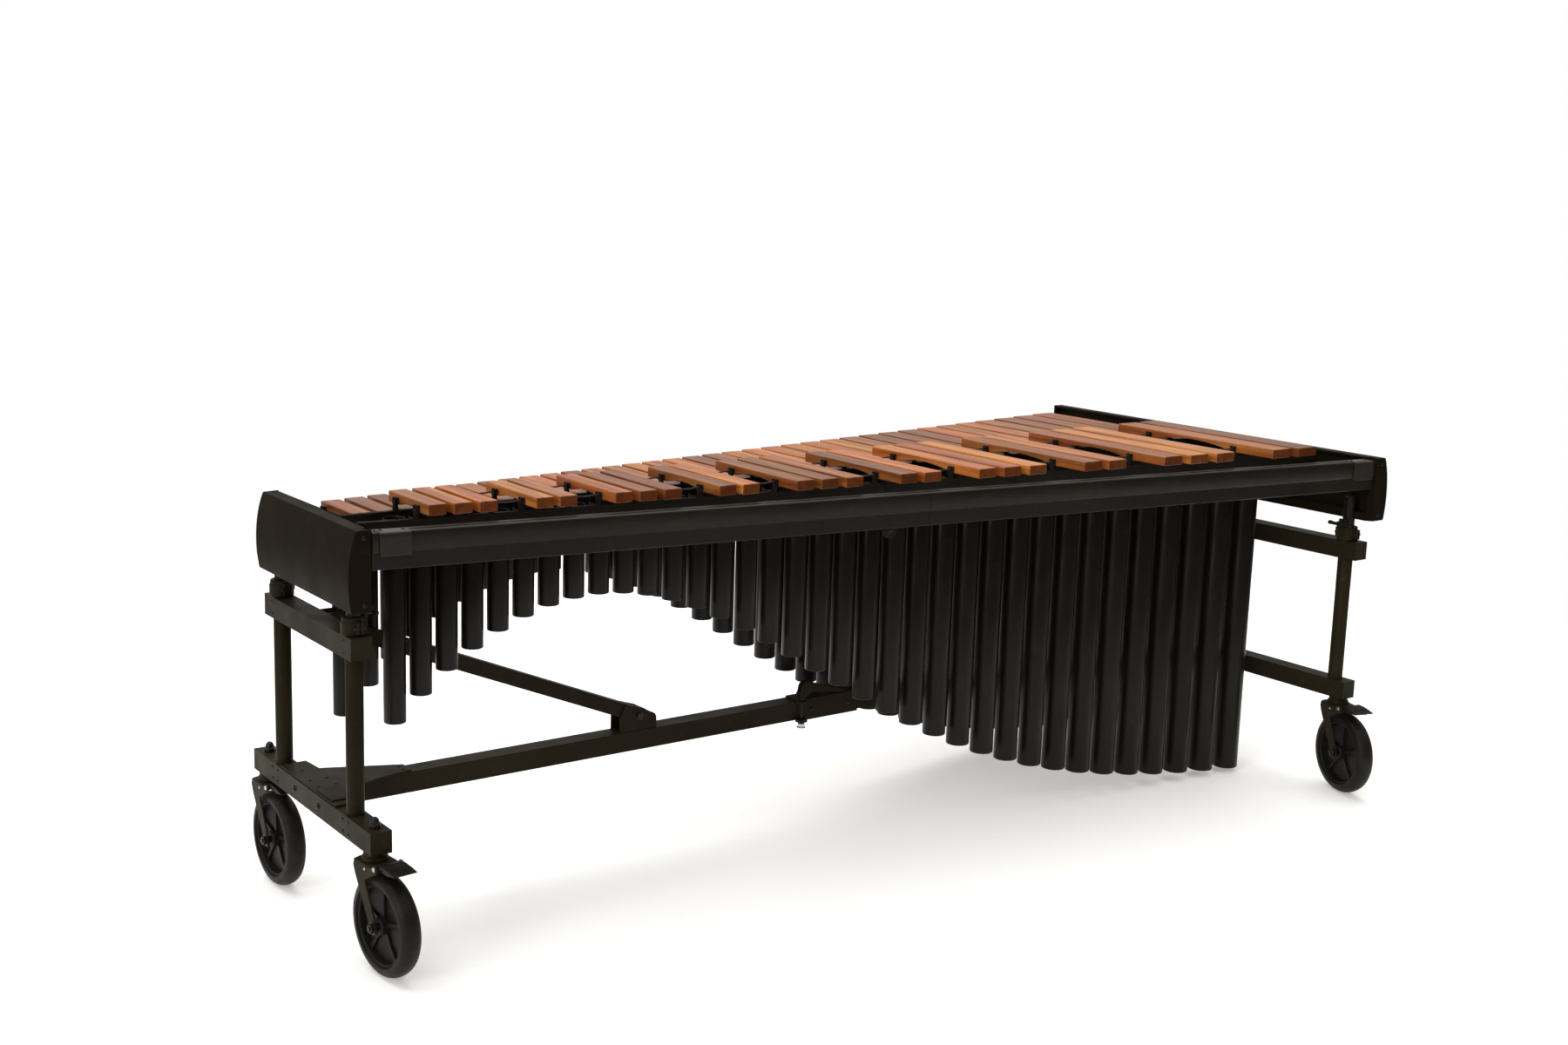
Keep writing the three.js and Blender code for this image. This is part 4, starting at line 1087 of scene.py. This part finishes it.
def make_fork_nuts(place, tag):
    """The axle's nuts and washers, and the bright rivets that hold the brake."""
    axle = (TRAIL, 0, WHEEL_R)
    nuts, bright = Piece(place), Piece(place)
    for way in (-1, 1):
        nuts.rod(axle, 12.5, *beyond(0, way, 30, 32), "Y", 28)
        nuts.hexagon(axle, 9.8, *beyond(0, way, 32, 38), "Y")
        nuts.rod(axle, 5, *beyond(0, way, 37, 40.5), "Y", 16, 0.8)
        nuts.rod(axle, 6.4, *beyond(0, way, 19, 31), "Y", 16)
        bright.bolt((12, way * 30, 208), "Y", way, 3.0, 1.6)
        bright.bolt((PEDAL_X, way * 30, PEDAL_Z), "Y", way, 4.8, 2.6)
    nuts.done(f"axle_nuts_{tag}", BOLT_BLACK, f"caster_{tag}", bevel=0.4)
    bright.done(f"fork_rivets_{tag}", STEEL, f"caster_{tag}")


def on_pedal(points):
    """A pedal outline, moved from its pivot to the caster's own origin."""
    return [(PEDAL_X + x, PEDAL_Z + z) for x, z in points]


def make_pedal(place, tag):
    """A ribbed, flared foot plate with a hooked lip and a shoe over the tyre."""
    x, z = PEDAL_X, PEDAL_Z
    piece = Piece(place).prism(on_pedal(PEDAL_PLATE), "Y", -25, 25)
    for i in range(5):
        piece.prism(on_pedal(PEDAL_RIB), "Y", *around(-20 + 10 * i, 1.2))
    piece.prism(on_pedal(PEDAL_SHOE), "Y", -17, 17)
    for i in range(6):
        ridge = x + 18 + 7 * i
        piece.box(around(ridge, 1.1), (-21, 21), (z + 6.6, z + 10.2 - 0.5 * i))
    piece.rod((x, 0, z), 3, -28, 28, "Y", 16)
    piece.done(f"pedal_plate_{tag}", PLASTIC, f"pedal_{tag}", [f"brake_pedal_{tag}"], bevel=0.8)


def make_casters():
    for end, side, tag in CORNERS:
        turn = Matrix.Rotation(math.radians(CASTER_TURN[end][side]), 4, "Z")
        place = Matrix.Translation((END_X[end], STEM_Y[end][side], 0)) @ turn
        for make in (make_wheel, make_fork, make_fork_nuts, make_pedal):
            make(place, tag)


# ---- room ----

CAMERA = {"at": (-1348.717, -3002.655, 1518.117), "yaw": 34.127, "pitch": 10.18, "roll": 1.244}
LENS, SENSOR = 42.122, 36.0
SHIFT = (0.0641, -0.0185)
FLOOR_R, FLOOR_GLOW, FLOOR_WHITE = 3.4, 0.28, (1, 0.995, 0.985, 1)
BACKDROP = (1, 1, 1, 1)
SKY_AXIS = (-0.10, 0.42, 0.90)
SKY_STOPS = ((0.0, 0.05), (0.42, 0.14), (0.62, 0.50), (1.0, 0.95))
SKY_WHITE = (1, 0.985, 0.96)
SUNS = (
    ("overhead", (-0.05, -0.30, -1), 1.85, 65, (1, 0.985, 0.96)),
    ("key", (0.90, 0.26, -0.42), 0.95, 24, (1, 0.96, 0.90)),
)


def make_camera():
    data = bpy.data.cameras.new("camera")
    made = new_object("camera", data)
    bpy.context.scene.camera = made
    data.lens, data.sensor_width = LENS, SENSOR
    data.shift_x, data.shift_y = SHIFT
    data.clip_end = 200
    yaw, pitch, roll = (math.radians(CAMERA[key]) for key in ("yaw", "pitch", "roll"))
    ahead = Vector((math.sin(yaw) * math.cos(pitch), math.cos(yaw) * math.cos(pitch), -math.sin(pitch)))
    right = Vector((math.cos(yaw), -math.sin(yaw), 0))
    up = right.cross(ahead)
    tilted_right = right * math.cos(roll) + up * math.sin(roll)
    tilted_up = up * math.cos(roll) - right * math.sin(roll)
    turn = Matrix((tilted_right, tilted_up, -ahead)).transposed().to_4x4()
    made.matrix_world = Matrix.Translation(TO_FRAME @ Vector(CAMERA["at"])) @ turn


def make_floor():
    """A white disc that runs into the white room, so dark faces don't mirror a floor without end."""
    mesh = bpy.data.meshes.new("floor")
    rim = [(x, y, 0) for x, y in arc((0, 0), FLOOR_R, 0, 360, 96)[:-1]]
    mesh.from_pydata(rim, [], [range(len(rim))])
    made = new_object("floor", mesh)
    look = Look("floor_white")
    tone = look.ramp(look.noise(0.7, detail=3.0), *FLOOR_TONES)
    look.set(Base_Color=tone, Roughness=0.9, Specular_IOR_Level=0.1)
    look.set(Emission_Color=FLOOR_WHITE, Emission_Strength=FLOOR_GLOW)
    mesh.materials.append(look.material)


def make_world():
    """A white room to the eye. As light it is bright overhead and ahead, and dim behind the high notes."""
    world = bpy.data.worlds.new("studio")
    bpy.context.scene.world = world
    world.use_nodes = True
    world.node_tree.nodes.clear()
    sky = Nodes(world.node_tree)
    where = sky.node("TexCoord").outputs["Generated"]
    height = sky.maths("VectorMath", "DOT_PRODUCT", where, SKY_AXIS)["Value"]
    stops = [(spot, [level * c for c in SKY_WHITE]) for spot, level in SKY_STOPS]
    light = sky.node("Background", Color=sky.ramp(sky.ranged(height, 0, 1, -1, 1), *stops))
    seen = sky.node("Background", Color=BACKDROP)
    path, mix = sky.node("LightPath"), sky.node("MixShader")
    sky.feed(mix, {0: path.outputs["Is Camera Ray"], 1: light.outputs[0], 2: seen.outputs[0]})
    sky.node("OutputWorld", Surface=mix.outputs[0])


def make_sun(name, direction, strength, spread, colour):
    data = bpy.data.lights.new(name, "SUN")
    data.energy, data.angle, data.color = strength, math.radians(spread), colour
    made = new_object(name, data)
    made.rotation_euler = Vector(direction).to_track_quat("-Z", "Y").to_euler()


def make_room():
    make_camera()
    make_floor()
    make_world()
    for sun in SUNS:
        make_sun(*sun)
    bpy.context.scene.view_settings.view_transform = "Standard"


make_room()
make_bars()
make_node_rails()
make_rail_ties()
make_front_rails()
make_rail_hooks()
make_rail_latch()
for which in ENDS:
    make_panel(which)
    make_gusset(which)
make_rods()
for which in SIDES:
    make_bank(which)
paint_cad_beams()
for which in ENDS:
    make_beam_plugs(which)
    make_beam_bolts(which)
make_legs()
make_brace_hardware()
make_latch()
make_casters()
